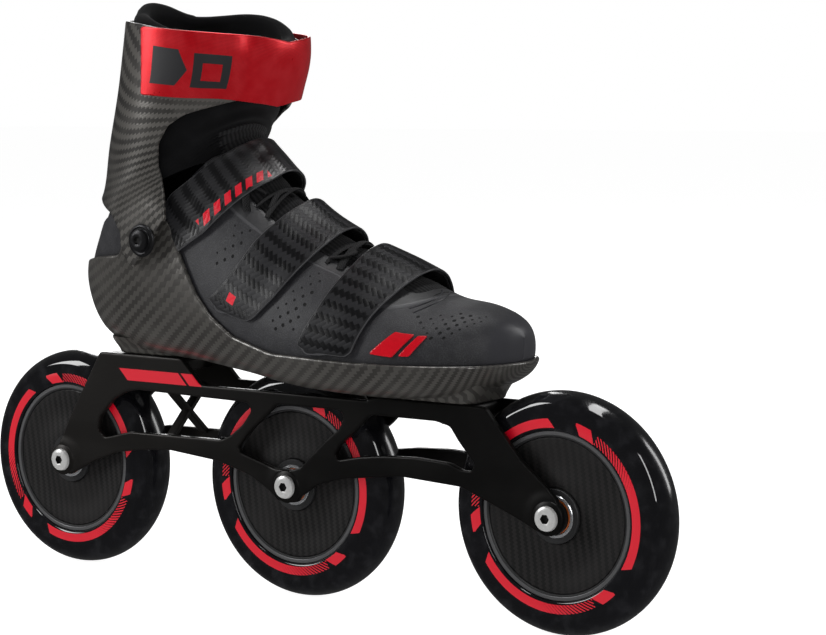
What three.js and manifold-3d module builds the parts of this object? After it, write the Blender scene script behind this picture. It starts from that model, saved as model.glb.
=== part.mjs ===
// Inline speed skate for the right foot: a low carbon boot with a hinged cuff, bolted to a
// three-wheel frame. Millimetres. +X points to the toe, +Y to the inner side of the foot, +Z up.
// The origin lies on the floor, straight under the middle axle.

import * as THREE from "three";
import { mergeVertices } from "three/addons/utils/BufferGeometryUtils.js";
import Module from "manifold-3d";

const wasm = await Module();
wasm.setup();

// ---------------------------------------------------------------- driving dimensions
const wheelRadius = 62.5;
const tyreHalfWidth = 12;
const treadStartRadius = 54;
const hubRadius = 43.5;
const rimInnerRadius = 40;
const hubBossRadius = 14;
const axleSpacing = 166;
const tyreSegments = 32;
const hubSegments = 16;

const bearingOuterRadius = 11;
const bearingBoreRadius = 4;
const bearingInnerEnd = 5;
const bearingOuterEnd = 12;
const outerRaceInnerRadius = 9.3;
const innerRaceOuterRadius = 6;
const bearingSegments = 16;
const shaftSegments = 12;

const plateInner = 14;
const plateOuter = 18;
const bossInner = 12.2;
const bossOuter = 18.6;
const bossRadius = 9;
const rearDeckTop = 127.5;
const frontDeckTop = 115.6;

const pivot = { x: -76, z: 195 };
const armRadius = 17;
const footSplitRadius = 58;
const throatSplitRadius = 79;
const splitGap = 1.5;

const carbonThickness = 2.4;
const shellOffset = 0.4;
const upperThickness = 1.8;
const linerThickness = 3.6;
const insoleThickness = 3.2;
const strapThickness = 1.8;
const rimGap = 0.3;

// Flat faces round the pivot, as distances from the middle plane: the outside of the shell's
// ear, and the inside and outside of the cuff's arm.
const earFace = 42;
const armInnerFace = 42.5;
const armOuterFace = 45.8;
const armClearRadius = 34;
const pivotBoreRadius = 4.3;
const nutRecessRadius = 8.4;
const nutRecessDepth = 37.4;
const nutSeat = 39.1;

const rearBoltX = -104;
const frontBoltX = 96;

// Sections of the foot and leg form, from the toe to the top of the leg. Each lists the sole or
// back point x and z, the crown or front point x and z, the half width, the sideways shift, how
// far up the widest point lies, and the roundness of the lower and upper half.
const sections = [
  [136, 139, 137, 149, 1, 6, 0.45, 2, 2],
  [134, 134, 135, 155, 14, 6, 0.42, 2.2, 2.2],
  [127, 128, 128, 161, 26, 5, 0.38, 2.6, 2.2],
  [110, 122, 115, 166, 36.5, 3, 0.36, 3, 2.1],
  [84, 119.5, 95, 170, 44, 0, 0.34, 3.2, 1.9],
  [52, 119.5, 66, 182, 46.5, -1, 0.33, 3.2, 1.8],
  [16, 121, 37, 193, 45, -2, 0.34, 3.2, 1.75],
  [-20, 125, 11, 206, 41.5, -2, 0.36, 3, 1.75],
  [-58, 129, -12, 223, 38.5, -1, 0.4, 2.8, 1.85],
  [-100, 131, -26, 238, 37.5, 0, 0.44, 2.5, 2],
  [-131, 140, -33, 248, 38.5, 0, 0.48, 2.2, 2.1],
  [-144, 163, -35, 255, 40.5, 0, 0.52, 2, 2.1],
  [-139, 186, -33, 262, 42, 0, 0.54, 2, 2.1],
  [-129, 212, -29, 271, 43, 0, 0.54, 2, 2.1],
  [-125, 240, -22, 283, 44, 0, 0.53, 2.1, 2.1],
  [-118, 275, -13, 299, 45, 0, 0.52, 2.1, 2.1],
  [-112, 318, -11, 322, 45.5, 0, 0.52, 2.1, 2.1],
];
const lastSection = sections.length - 1;
const archCentreX = 3;
const archLength = 24;
const archHeight = 9;
const archHalfWidth = 19;

// All the layers share one net of rows along the form and columns round it, so that their faces
// lie parallel and keep their gaps.
const netRows = 20;
const netColumns = 18;

// ---------------------------------------------------------------- solids
// A closed triangle mesh as a solid that can be cut and joined.
function solidOf(geometry) {
  const plain = geometry.clone();
  plain.deleteAttribute("normal");
  plain.deleteAttribute("uv");
  const merged = mergeVertices(plain, 1e-4);
  const points = merged.attributes.position.array;
  const corners = Array.from(merged.index.array);
  if (signedVolume(points, corners) < 0) {
    for (let i = 0; i < corners.length; i += 3) {
      [corners[i], corners[i + 1]] = [corners[i + 1], corners[i]];
    }
  }
  const mesh = new wasm.Mesh({
    numProp: 3,
    vertProperties: new Float32Array(points),
    triVerts: new Uint32Array(corners),
  });
  return new wasm.Manifold(mesh);
}

function signedVolume(points, corners) {
  const [a, b, c] = [new THREE.Vector3(), new THREE.Vector3(), new THREE.Vector3()];
  let volume = 0;
  for (let i = 0; i < corners.length; i += 3) {
    a.fromArray(points, 3 * corners[i]);
    b.fromArray(points, 3 * corners[i + 1]);
    c.fromArray(points, 3 * corners[i + 2]);
    volume += a.dot(b.cross(c)) / 6;
  }
  return volume;
}

function geometryOf(solid) {
  const mesh = solid.getMesh();
  const geometry = new THREE.BufferGeometry();
  geometry.setAttribute("position", new THREE.BufferAttribute(new Float32Array(mesh.vertProperties), 3));
  geometry.setIndex(new THREE.BufferAttribute(new Uint32Array(mesh.triVerts), 1));
  geometry.computeVertexNormals();
  return geometry;
}

// A solid turned about the Y axis. The profile lists [radius, y] and closes on itself.
function turned(profile, segments) {
  const points = [...profile, profile[0]].map(([radius, y]) => new THREE.Vector2(radius, y));
  return solidOf(new THREE.LatheGeometry(points, segments));
}

// A round bar along Y, from y0 to y1.
function bar(radius, y0, y1, segments, x = 0, z = 0) {
  const cylinder = new THREE.CylinderGeometry(radius, radius, y1 - y0, segments);
  return solidOf(cylinder).translate([x, (y0 + y1) / 2, z]);
}

// An upright round bar, from z0 to z1.
function post(radius, z0, z1, segments, x = 0, y = 0) {
  const cylinder = new THREE.CylinderGeometry(radius, radius, z1 - z0, segments);
  cylinder.rotateX(Math.PI / 2);
  return solidOf(cylinder).translate([x, y, (z0 + z1) / 2]);
}

function block(low, high) {
  const size = high.map((value, axis) => value - low[axis]);
  const centre = high.map((value, axis) => (value + low[axis]) / 2);
  return solidOf(new THREE.BoxGeometry(...size)).translate(centre);
}

// A flat outline in X and Z, carried along Y from y0 to y1.
function sideways(shape, y0, y1, curveSegments = 8) {
  const geometry = new THREE.ExtrudeGeometry(shape, {
    depth: y1 - y0,
    bevelEnabled: false,
    curveSegments,
  });
  geometry.rotateX(Math.PI / 2);
  geometry.translate(0, y1, 0);
  return solidOf(geometry);
}

// A flat outline in X and Y, carried up from z0 to z1.
function upright(shape, z0, z1) {
  const geometry = new THREE.ExtrudeGeometry(shape, { depth: z1 - z0, bevelEnabled: false, curveSegments: 8 });
  geometry.translate(0, 0, z0);
  return solidOf(geometry);
}

// A straight-sided outline, wound anticlockwise so that its holes are cut.
function outline(points) {
  const corners = points.map(([x, z]) => new THREE.Vector2(x, z));
  return new THREE.Shape(THREE.ShapeUtils.isClockWise(corners) ? corners.reverse() : corners);
}

// ---------------------------------------------------------------- the foot and leg form
// The section values at s, on a smooth curve through the sections.
function sectionAt(s) {
  const place = Math.min(Math.max(s, 0), lastSection - 1e-9);
  const index = Math.floor(place);
  const f = place - index;
  const row = (k) => sections[Math.min(Math.max(k, 0), lastSection)];
  const [p0, p1, p2, p3] = [row(index - 1), row(index), row(index + 1), row(index + 2)];
  return p1.map((value, k) => 0.5 * (2 * value + (p2[k] - p0[k]) * f
    + (2 * p0[k] - 5 * value + 4 * p2[k] - p3[k]) * f ** 2
    + (3 * value - p0[k] - 3 * p2[k] + p3[k]) * f ** 3));
}

// A point of the form at section s and angle v: 0 under the sole, pi on the crown, and positive
// round the outer side. The sole is hollowed where the middle wheel passes under it.
function formPoint(s, v) {
  const [backX, backZ, frontX, frontZ, halfWidth, shift, widest, soleRound, crownRound] = sectionAt(s);
  const low = Math.cos(v) > 0;
  const power = 2 / (low ? soleRound : crownRound);
  const reach = Math.abs(Math.cos(v)) ** power;
  const height = low ? widest * (1 - reach) : widest + (1 - widest) * reach;
  const side = halfWidth * Math.sign(Math.sin(v)) * Math.abs(Math.sin(v)) ** power;
  const x = backX + (frontX - backX) * height;
  let z = backZ + (frontZ - backZ) * height;
  if (low) {
    z += archHeight * Math.exp(-(((x - archCentreX) / archLength) ** 2)) / (1 + (side / archHalfWidth) ** 6);
  }
  return new THREE.Vector3(x, shift - side, z);
}

// The same point moved out along the form's normal.
function skinPoint(s, v, offset) {
  const step = 1e-3;
  const along = formPoint(s + step, v).sub(formPoint(s - step, v));
  const around = formPoint(s, v + step).sub(formPoint(s, v - step));
  const normal = around.cross(along).normalize();
  return formPoint(s, v).addScaledVector(normal, offset);
}

// A closed sheet over the form, from offset inner to outer. The place function turns fractions
// along and round the sheet into [s, v]. A sheet that closes on itself has no side walls.
function sheet(place, inner, outer, rows, columns, closedRound = false) {
  const points = [];
  const corners = [];
  const width = columns + 1;
  const layer = (rows + 1) * width;
  for (const offset of [inner, outer]) {
    for (let i = 0; i <= rows; i += 1) {
      for (let j = 0; j <= columns; j += 1) {
        const [s, v] = place(i / rows, j / columns);
        points.push(...skinPoint(s, v, offset).toArray());
      }
    }
  }
  const quad = (a, b, c, d) => corners.push(a, b, c, a, c, d);
  for (let i = 0; i < rows; i += 1) {
    for (let j = 0; j < columns; j += 1) {
      const a = i * width + j;
      quad(a, a + 1, a + 1 + width, a + width);
      quad(layer + a, layer + a + width, layer + a + 1 + width, layer + a + 1);
    }
  }
  for (let j = 0; j < columns; j += 1) {
    const end = rows * width + j;
    quad(j, layer + j, layer + j + 1, j + 1);
    quad(end, end + 1, layer + end + 1, layer + end);
  }
  for (let i = 0; i < rows && !closedRound; i += 1) {
    const a = i * width;
    const b = a + columns;
    quad(a, a + width, layer + a + width, layer + a);
    quad(b, layer + b, layer + b + width, b + width);
  }
  const geometry = new THREE.BufferGeometry();
  geometry.setAttribute("position", new THREE.Float32BufferAttribute(points, 3));
  geometry.setIndex(corners);
  return solidOf(geometry);
}

// A band of the form between two section curves, wound from angle v0 to v1.
function band(sLow, sHigh, v0, v1, inner, outer, rows, columns) {
  const place = (a, b) => {
    const v = v0 + (v1 - v0) * b;
    return [sLow(v) + (sHigh(v) - sLow(v)) * a, v];
  };
  return sheet(place, inner, outer, rows, columns);
}

// A layer on the shared net, between two of its rows. It reaches halfColumns to each side of the
// sole line, and closes on the crown when that is all of them.
function layer(rowFrom, rowTo, halfColumns, inner, outer) {
  const place = (a, b) => [
    Math.max(0.02, (lastSection * mix(rowFrom, rowTo, a)) / netRows),
    ((2 * Math.PI) / netColumns) * mix(-halfColumns, halfColumns, b),
  ];
  return sheet(place, inner, outer, rowTo - rowFrom, 2 * halfColumns, 2 * halfColumns === netColumns);
}

function mix(a, b, t) {
  return a + (b - a) * Math.min(Math.max(t, 0), 1);
}

// ---------------------------------------------------------------- frame
const sideOutline = [
  [-135, 127.5], [-74, 127.5], [-60, 113.5], [54, 113.5], [59, 115.6], [128, 115.6], [150, 90],
  [170, 73], [175.5, 62], [171, 54], [161, 54.5], [140, 63], [113, 73], [75, 75], [37, 70],
  [20, 65], [9.5, 58], [6, 54], [-6, 54], [-11, 58], [-26, 66], [-49, 72], [-84, 75], [-107, 73],
  [-124, 70], [-143, 63], [-160, 54.5], [-171, 54], [-175.5, 62], [-171, 68], [-157, 92],
];
const windows = [
  [[-138, 82], [-136, 90], [-125, 101], [-116, 105.5], [-107, 107.5], [-39, 106.5], [-26, 106],
    [-24, 102], [-30, 94], [-39, 87], [-46, 84], [-58, 84], [-113, 83], [-133, 78]],
  [[-6, 107], [37, 107], [39, 103], [36, 97], [27, 90], [9, 73.5], [2, 71.5], [-9, 71.5], [-32, 78],
    [-34, 81], [-26, 90]],
  [[55, 105], [59, 106], [98, 106], [107, 104], [112, 97], [122, 86], [120, 82], [114, 82],
    [106, 85], [85, 86], [64, 85], [49, 83], [35, 80], [33, 83], [37, 89], [47, 97]],
];
const axleXs = [-axleSpacing, 0, axleSpacing];

function sidePlate(side) {
  const shape = outline(sideOutline);
  for (const points of windows) {
    shape.holes.push(new THREE.Path(points.map(([x, z]) => new THREE.Vector2(x, z))));
  }
  const [low, high] = side > 0 ? [plateInner, plateOuter] : [-plateOuter, -plateInner];
  let plate = sideways(shape, low, high);
  for (const x of axleXs) {
    const [bossLow, bossHigh] = side > 0 ? [bossInner, bossOuter] : [-bossOuter, -bossInner];
    plate = plate.add(bar(bossRadius, bossLow, bossHigh, 16, x, wheelRadius));
  }
  return plate;
}

function frame() {
  const rearDeck = block([-133, -15, 119], [-78, 15, rearDeckTop]);
  const frontDeck = block([64, -15, 108], [117, 15, frontDeckTop]);
  const brace = { x: -85, z: 95.5, depth: 6, rise: 14, halfSpan: 15.5, thickness: 3 };
  const braceBar = (sign) => {
    const length = 2 * Math.hypot(brace.rise, brace.halfSpan);
    const strut = new THREE.BoxGeometry(brace.depth, length, brace.thickness);
    strut.rotateX(sign * Math.atan2(brace.rise, brace.halfSpan));
    return solidOf(strut).translate([brace.x, 0, brace.z]);
  };
  let solid = sidePlate(1).add(sidePlate(-1)).add(rearDeck).add(frontDeck);
  solid = solid.add(braceBar(1)).add(braceBar(-1));
  for (const x of axleXs) {
    solid = solid.subtract(bar(bearingBoreRadius + 0.05, -30, 30, shaftSegments, x, wheelRadius));
  }
  for (const x of [rearBoltX, frontBoltX]) {
    solid = solid.subtract(post(3.2, 90, 140, 12, x));
  }
  return solid;
}

// ---------------------------------------------------------------- wheels
function tyre() {
  const profile = [[hubRadius, 10.6], [hubRadius + 1.2, tyreHalfWidth], [treadStartRadius, tyreHalfWidth]];
  const treadSteps = 3;
  for (let i = 1; i < 2 * treadSteps; i += 1) {
    const angle = Math.PI / 2 - (i * Math.PI) / (2 * treadSteps);
    const crown = treadStartRadius + (wheelRadius - treadStartRadius) * Math.cos(angle);
    profile.push([crown, tyreHalfWidth * Math.sin(angle)]);
  }
  profile.push([treadStartRadius, -tyreHalfWidth], [hubRadius + 1.2, -tyreHalfWidth], [hubRadius, -10.6]);
  return turned(profile, tyreSegments);
}

function hub() {
  const rim = hubRadius - 0.1;
  const half = [
    [bearingOuterRadius - 1.4, bearingInnerEnd - 0.1],
    [bearingOuterRadius, bearingInnerEnd - 0.1],
    [bearingOuterRadius, 11.6],
    [hubBossRadius, 11.6],
    [hubBossRadius, 2],
    [rimInnerRadius, 2],
    [rimInnerRadius, 10.4],
    [rim, 10.4],
  ];
  const mirrored = half.map(([radius, y]) => [radius, -y]).reverse();
  return turned([...half, ...mirrored], hubSegments);
}

// The carbon plate that closes one face of the hub.
function hubDisc(side) {
  const [inner, outer] = [hubBossRadius + 0.2, rimInnerRadius - 0.2];
  const [near, far] = [8.4 * side, 9.8 * side];
  return turned([[inner, near], [outer, near], [outer, far], [inner, far]], hubSegments);
}

function raceRing(inner, outer, side) {
  const [near, far] = [bearingInnerEnd * side, bearingOuterEnd * side];
  return turned([[inner, near], [outer, near], [outer, far], [inner, far]], bearingSegments);
}

function bearingShield(side) {
  const [near, far] = [11 * side, 11.5 * side];
  const [inner, outer] = [innerRaceOuterRadius + 0.3, outerRaceInnerRadius - 0.3];
  return turned([[inner, near], [outer, near], [outer, far], [inner, far]], shaftSegments);
}

function bearingSpacer() {
  const end = bearingInnerEnd - 0.1;
  return turned([[4.1, -end], [5.6, -end], [5.6, end], [4.1, end]], shaftSegments);
}

// The axle is a long screw: its head shows on the outer side and its thread ends flush inside.
function axle() {
  const headHeight = 2.6;
  const shaft = bar(bearingBoreRadius - 0.15, -bossOuter - 0.2, bossOuter, shaftSegments);
  const head = bar(6.5, -bossOuter - headHeight, -bossOuter - 0.1, 16);
  const socket = bar(2.3, -bossOuter - headHeight - 1, -bossOuter - 0.6, 6);
  return shaft.add(head).subtract(socket);
}

// ---------------------------------------------------------------- boot
// Where the carbon tub ends: up at the heel, round the two pivot ears, and low along the foot.
function shellRegion() {
  const shape = new THREE.Shape();
  shape.moveTo(-170, 100);
  shape.lineTo(-170, 172);
  shape.lineTo(-148, 178);
  shape.lineTo(-118, 184);
  shape.lineTo(pivot.x - armRadius + 1, pivot.z);
  shape.absarc(pivot.x, pivot.z, armRadius - 1, Math.PI, 0, true);
  for (const [x, z] of [[-51, 181], [-42, 167], [-31, 156], [-14, 146], [14, 139], [66, 137.6], [160, 137]]) {
    shape.lineTo(x, z);
  }
  shape.lineTo(160, 100);
  return sideways(shape, -80, 80, 6);
}

function bootShell() {
  const outer = shellOffset + carbonThickness;
  const skin = layer(0, 16, 6, shellOffset, outer);
  const heelBlock = block([-131, -17, rearDeckTop + rimGap], [-76, 17, 134]);
  const toeBlock = sideways(outline([[62, 119], [66, frontDeckTop + rimGap], [122, frontDeckTop + rimGap],
    [136, 131], [120, 126], [70, 124]]), -19, 19);
  const under = heelBlock.add(toeBlock).subtract(layer(1, 15, 5, -7, shellOffset));
  let solid = skin.intersect(shellRegion()).add(under);
  for (const side of [-1, 1]) {
    const beyond = side > 0 ? [earFace, 70] : [-70, -earFace];
    const bore = side > 0 ? [20, 70] : [-70, -20];
    const recess = side > 0 ? [20, nutSeat] : [-nutSeat, -20];
    solid = solid.subtract(bar(nutRecessRadius, ...recess, shaftSegments, pivot.x, pivot.z));
    solid = solid.subtract(bar(armRadius + 4, ...beyond, 16, pivot.x, pivot.z));
    solid = solid.subtract(bar(pivotBoreRadius, ...bore, 16, pivot.x, pivot.z));
  }
  for (const x of [rearBoltX, frontBoltX]) {
    solid = solid.subtract(post(3.2, 100, 150, shaftSegments, x));
  }
  solid = solid.subtract(block([-150, -20, 100], [-66, 20, rearDeckTop + rimGap]));
  solid = solid.subtract(block([50, -20, 100], [140, 20, frontDeckTop + rimGap]));
  return largestPart(solid);
}

function largestPart(solid) {
  const parts = solid.decompose();
  return parts.reduce((best, part) => (part.volume() > best.volume() ? part : best));
}

// The opening over the instep, as an upright outline of the given half width.
function throatCut(halfWidth, toeX) {
  const shape = new THREE.Shape();
  shape.moveTo(-82, -halfWidth);
  shape.lineTo(toeX - halfWidth, -halfWidth);
  shape.absarc(toeX - halfWidth, 0, halfWidth, -Math.PI / 2, Math.PI / 2, false);
  shape.lineTo(-82, halfWidth);
  return upright(shape, 155, 400);
}

// The part of the form that stays with the foot when the cuff leans.
function footRegion() {
  const shape = new THREE.Shape();
  const rearAngle = THREE.MathUtils.degToRad(163);
  const stepAngle = THREE.MathUtils.degToRad(74);
  shape.moveTo(-200, 100);
  shape.lineTo(-200, pivot.z + footSplitRadius * Math.sin(rearAngle));
  shape.absarc(pivot.x, pivot.z, footSplitRadius, rearAngle, stepAngle, true);
  shape.absarc(pivot.x, pivot.z, throatSplitRadius, stepAngle, 0, true);
  shape.lineTo(200, pivot.z);
  shape.lineTo(200, 100);
  return sideways(shape, -80, 80, 10);
}

// The part of the form that moves with the cuff.
function legRegion() {
  const shape = new THREE.Shape();
  const rearAngle = THREE.MathUtils.degToRad(157);
  const stepAngle = THREE.MathUtils.degToRad(98);
  const frontAngle = THREE.MathUtils.degToRad(10);
  shape.moveTo(-200, 300);
  shape.lineTo(-200, pivot.z + footSplitRadius * Math.sin(rearAngle));
  shape.absarc(pivot.x, pivot.z, footSplitRadius + splitGap, rearAngle, stepAngle, true);
  shape.absarc(pivot.x, pivot.z, throatSplitRadius + splitGap, stepAngle, frontAngle, true);
  shape.lineTo(60, 260);
  for (const [x, z] of [[60, 296], [-5, 303], [-23, 312], [-42, 316], [-66, 314], [-85, 318], [-102, 321],
    [-122, 316], [-132, 308]]) {
    shape.lineTo(x, z);
  }
  return sideways(shape, -80, 80, 10);
}

// Everything under the top line of the foot's own layers.
function belowAnkle() {
  return sideways(outline([[-170, 110], [-170, 206], [-118, 206], [-92, 218], [-62, 216], [-50, 236],
    [-34, 250], [20, 250], [170, 200], [170, 110]]), -80, 80);
}

// The hollows that take the pivot nuts.
function nutRecesses() {
  return bar(nutRecessRadius, nutRecessDepth, 70, shaftSegments, pivot.x, pivot.z)
    .add(bar(nutRecessRadius, -70, -nutRecessDepth, shaftSegments, pivot.x, pivot.z));
}

function upper() {
  const skin = layer(0, 17, 9, -upperThickness, 0);
  const solid = skin.intersect(belowAnkle()).intersect(footRegion()).subtract(throatCut(16, 84));
  return largestPart(solid.subtract(nutRecesses()));
}

function footLiner() {
  const outer = -upperThickness - rimGap;
  const skin = layer(1, 18, 9, outer - linerThickness, outer);
  const padding = skin.intersect(belowAnkle()).intersect(footRegion()).subtract(throatCut(26, 92));
  return largestPart(padding.subtract(nutRecesses()));
}

function tongue() {
  const [toeEnd, topEnd, spread] = [4.5, 12.2, 0.62];
  const place = (a, b) => [mix(toeEnd, topEnd, a), Math.PI + mix(-spread, spread, b)];
  const skin = sheet(place, -8, -upperThickness - 3 * rimGap, 12, 6);
  return largestPart(skin.intersect(footRegion()).intersect(throatCut(24.5, 90)));
}

function insole() {
  const top = -upperThickness - linerThickness - 2 * rimGap;
  return layer(2, 12, 2, top - insoleThickness, top);
}

// ---------------------------------------------------------------- straps
// Each strap is a band over the instep: [section at its toe edge, at its heel edge] low on the
// side, and the same on top, with the angles where it ends on the outer and inner side.
const strapInner = 0.6;
const strapPlans = {
  toe_strap: { low: [4.75, 5.65], top: [4.5, 5.55], outerEnd: 1.68, innerEnd: -1.68 },
  middle_strap: { low: [6.7, 7.7], top: [6.22, 7.38], outerEnd: 1.72, innerEnd: -1.72 },
  instep_strap: { low: [8.75, 10.2], top: [8.15, 9.95], outerEnd: 1.9, innerEnd: -1.95 },
};

// A strap or its keeper: the band of a plan, widened by grow sections at each edge.
function strapBand(plan, grow, v0, v1, inner, outer, rows, columns) {
  const height = (v) => Math.abs(((v + 2 * Math.PI) % (2 * Math.PI)) - Math.PI) / 1.4;
  const edge = (end, sign) => (v) => mix(plan.top[end], plan.low[end], height(v)) + sign * grow;
  return band(edge(0, -1), edge(1, 1), v0, v1, inner, outer, rows, columns);
}

function strap(plan) {
  const innerEnd = 2 * Math.PI + plan.innerEnd;
  return strapBand(plan, 0, plan.outerEnd, innerEnd, strapInner, strapInner + strapThickness, 2, 16);
}

// The sewn loop on the inner side that holds the strap down: a bridge with two feet.
function keeper(plan) {
  const centre = 2 * Math.PI + plan.innerEnd - 0.28;
  const [v0, v1] = [centre - 0.09, centre + 0.09];
  const top = strapInner + strapThickness + rimGap;
  const bridge = strapBand(plan, 0.18, v0, v1, strapInner, top + 1.4, 5, 2);
  const slot = strapBand(plan, 0.05, v0 - 0.05, v1 + 0.05, strapInner - 1, top, 5, 2);
  return bridge.subtract(slot);
}

// ---------------------------------------------------------------- cuff
const cuffInner = shellOffset + carbonThickness + 0.4;
const cuffOuter = cuffInner + 2.6;

function cuffRegion() {
  const shape = new THREE.Shape();
  shape.moveTo(-175, 312);
  shape.lineTo(-175, 216);
  for (const [x, z] of [[-135, 216], [-110, 215], [-97, 210]]) {
    shape.lineTo(x, z);
  }
  shape.lineTo(pivot.x - armRadius, pivot.z);
  shape.absarc(pivot.x, pivot.z, armRadius, Math.PI, 2 * Math.PI, false);
  for (const [x, z] of [[-62, 212], [-65, 224], [-65, 236], [-63, 248], [-57, 257], [-48, 263], [-34, 268],
    [-22, 272], [-16, 284], [-16, 300], [-40, 306], [-75, 311], [-110, 314]]) {
    shape.lineTo(x, z);
  }
  return sideways(shape, -80, 80, 8);
}

// The flat eye at the end of the cuff's arm.
function armOutline() {
  const shape = new THREE.Shape();
  shape.moveTo(pivot.x - armRadius, pivot.z);
  shape.absarc(pivot.x, pivot.z, armRadius, Math.PI, 2 * Math.PI, false);
  shape.lineTo(-64, 214);
  shape.lineTo(-92, 214);
  return shape;
}

function cuff() {
  let solid = layer(11, 20, 8, cuffInner, cuffOuter).intersect(cuffRegion());
  for (const side of [-1, 1]) {
    const [low, high] = side > 0 ? [armInnerFace, armOuterFace] : [-armOuterFace, -armInnerFace];
    const drum = side > 0 ? [20, armInnerFace] : [-armInnerFace, -20];
    const bore = side > 0 ? [20, 70] : [-70, -20];
    solid = solid.add(sideways(armOutline(), low, high, 6));
    solid = solid.subtract(bar(armClearRadius, ...drum, 24, pivot.x, pivot.z));
    solid = solid.subtract(bar(pivotBoreRadius, ...bore, 16, pivot.x, pivot.z));
  }
  return largestPart(solid);
}

function ankleLiner() {
  return largestPart(layer(12, 20, 9, -6, -0.4).intersect(legRegion()));
}

const cuffStrapInner = cuffOuter + 0.9;

function cuffStrap() {
  const edge = (front, rear) => (v) => {
    const aside = Math.abs(((v + 2 * Math.PI) % (2 * Math.PI)) - Math.PI) / 1.65;
    return mix(front, rear, aside);
  };
  const start = 1.38;
  return band(edge(13.55, 14.65), edge(15.2, 15.68), start, 2 * Math.PI - start, cuffStrapInner,
    cuffStrapInner + 1.6, 2, 24);
}

function heelTab() {
  const place = (a, b) => [mix(13.9, 15.5, a), mix(-0.16, 0.16, b)];
  return sheet(place, cuffOuter + 0.3, cuffOuter + 1.8, 6, 2);
}

// ---------------------------------------------------------------- fasteners
function pivotBolt(side) {
  const headBase = armOuterFace + 1.9;
  const shaft = bar(4, nutRecessDepth + 0.2, headBase + 0.2, shaftSegments);
  const head = bar(6, headBase, headBase + 2.6, 16);
  const nut = bar(7.5, nutRecessDepth + 0.2, nutRecessDepth + 1.4, 16);
  const socket = bar(2.3, headBase + 1, headBase + 4, 6);
  const bolt = shaft.add(head).add(nut).subtract(socket);
  const placed = side > 0 ? bolt : bolt.mirror([0, 1, 0]);
  return placed.translate([pivot.x, 0, pivot.z]);
}

function pivotWasher(side) {
  const low = armOuterFace + 0.1;
  const ring = turned([[4.3, low], [9, low], [8, low + 1.7], [4.3, low + 1.7]], 16);
  const placed = side > 0 ? ring : ring.mirror([0, 1, 0]);
  return placed.translate([pivot.x, 0, pivot.z]);
}

// A screw from under the deck into the sole, with its head below the deck.
function mountBolt(x, deckBottom, soleZ) {
  const shaft = post(3, deckBottom - 2, soleZ, shaftSegments, x);
  const head = post(5.2, deckBottom - 5.4, deckBottom - 1.9, 16, x);
  const socket = post(2.3, deckBottom - 7, deckBottom - 3.6, 6, x);
  return shaft.add(head).subtract(socket);
}

function mountWasher(x, deckBottom) {
  const hole = post(3.2, deckBottom - 4, deckBottom + 4, shaftSegments, x);
  return post(6.6, deckBottom - 1.6, deckBottom - 0.2, 16, x).subtract(hole);
}

// ---------------------------------------------------------------- assembly
const finishes = {
  anodised: { color: 0x3a3835, roughness: 0.42, metalness: 0.85 },
  urethane: { color: 0x0c0c0e, roughness: 0.12, metalness: 0 },
  nylon: { color: 0x161618, roughness: 0.5, metalness: 0 },
  carbon: { color: 0x2b2926, roughness: 0.25, metalness: 0.1 },
  bearingSteel: { color: 0xb9bcc0, roughness: 0.2, metalness: 1 },
  shieldOrange: { color: 0xd8691c, roughness: 0.5, metalness: 0 },
  boltSteel: { color: 0xa9abad, roughness: 0.3, metalness: 1 },
  blackSteel: { color: 0x1d1d1f, roughness: 0.35, metalness: 0.9 },
  microfibre: { color: 0x1a1b1d, roughness: 0.6, metalness: 0 },
  padding: { color: 0x101012, roughness: 0.9, metalness: 0 },
  strapFace: { color: 0x232427, roughness: 0.35, metalness: 0 },
  webbing: { color: 0x141416, roughness: 0.8, metalness: 0 },
  redFoil: { color: 0xc01020, roughness: 0.25, metalness: 0.7 },
};

const group = new THREE.Group();

function place(name, solid, finish, x = 0, z = 0) {
  const mesh = new THREE.Mesh(geometryOf(solid), new THREE.MeshStandardMaterial(finishes[finish]));
  mesh.name = name;
  mesh.position.set(x, 0, z);
  group.add(mesh);
}

place("frame", frame(), "anodised");
place("boot_shell", bootShell(), "carbon");
place("upper", upper(), "microfibre");
place("foot_liner", footLiner(), "padding");
place("tongue", tongue(), "padding");
place("insole", insole(), "padding");
place("cuff", cuff(), "carbon");
place("ankle_liner", ankleLiner(), "padding");
place("cuff_strap", cuffStrap(), "redFoil");
place("heel_tab", heelTab(), "webbing");
for (const [name, plan] of Object.entries(strapPlans)) {
  place(name, strap(plan), "strapFace");
  place(name.replace("strap", "keeper"), keeper(plan), "webbing");
}
for (const [where, side] of [["outer", -1], ["inner", 1]]) {
  place(`pivot_bolt_${where}`, pivotBolt(side), "blackSteel");
  place(`pivot_washer_${where}`, pivotWasher(side), "blackSteel");
}
place("mount_bolt_rear", mountBolt(rearBoltX, 119, 130), "boltSteel");
place("mount_washer_rear", mountWasher(rearBoltX, 119), "boltSteel");
place("mount_bolt_front", mountBolt(frontBoltX, 108, 119.6), "boltSteel");
place("mount_washer_front", mountWasher(frontBoltX, 108), "boltSteel");

["rear", "middle", "front"].forEach((wheel, index) => {
  const x = axleXs[index];
  place(`${wheel}_tyre`, tyre(), "urethane", x, wheelRadius);
  place(`${wheel}_hub`, hub(), "nylon", x, wheelRadius);
  place(`${wheel}_spacer`, bearingSpacer(), "boltSteel", x, wheelRadius);
  place(`${wheel}_axle`, axle(), "boltSteel", x, wheelRadius);
  for (const [where, side] of [["outer", -1], ["inner", 1]]) {
    place(`${wheel}_disc_${where}`, hubDisc(side), "carbon", x, wheelRadius);
    place(`${wheel}_outer_race_${where}`, raceRing(outerRaceInnerRadius, bearingOuterRadius - 0.02, side),
      "bearingSteel", x, wheelRadius);
    place(`${wheel}_inner_race_${where}`, raceRing(bearingBoreRadius, innerRaceOuterRadius, side),
      "bearingSteel", x, wheelRadius);
    place(`${wheel}_shield_${where}`, bearingShield(side), "shieldOrange", x, wheelRadius);
  }
});

export default group;
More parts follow.
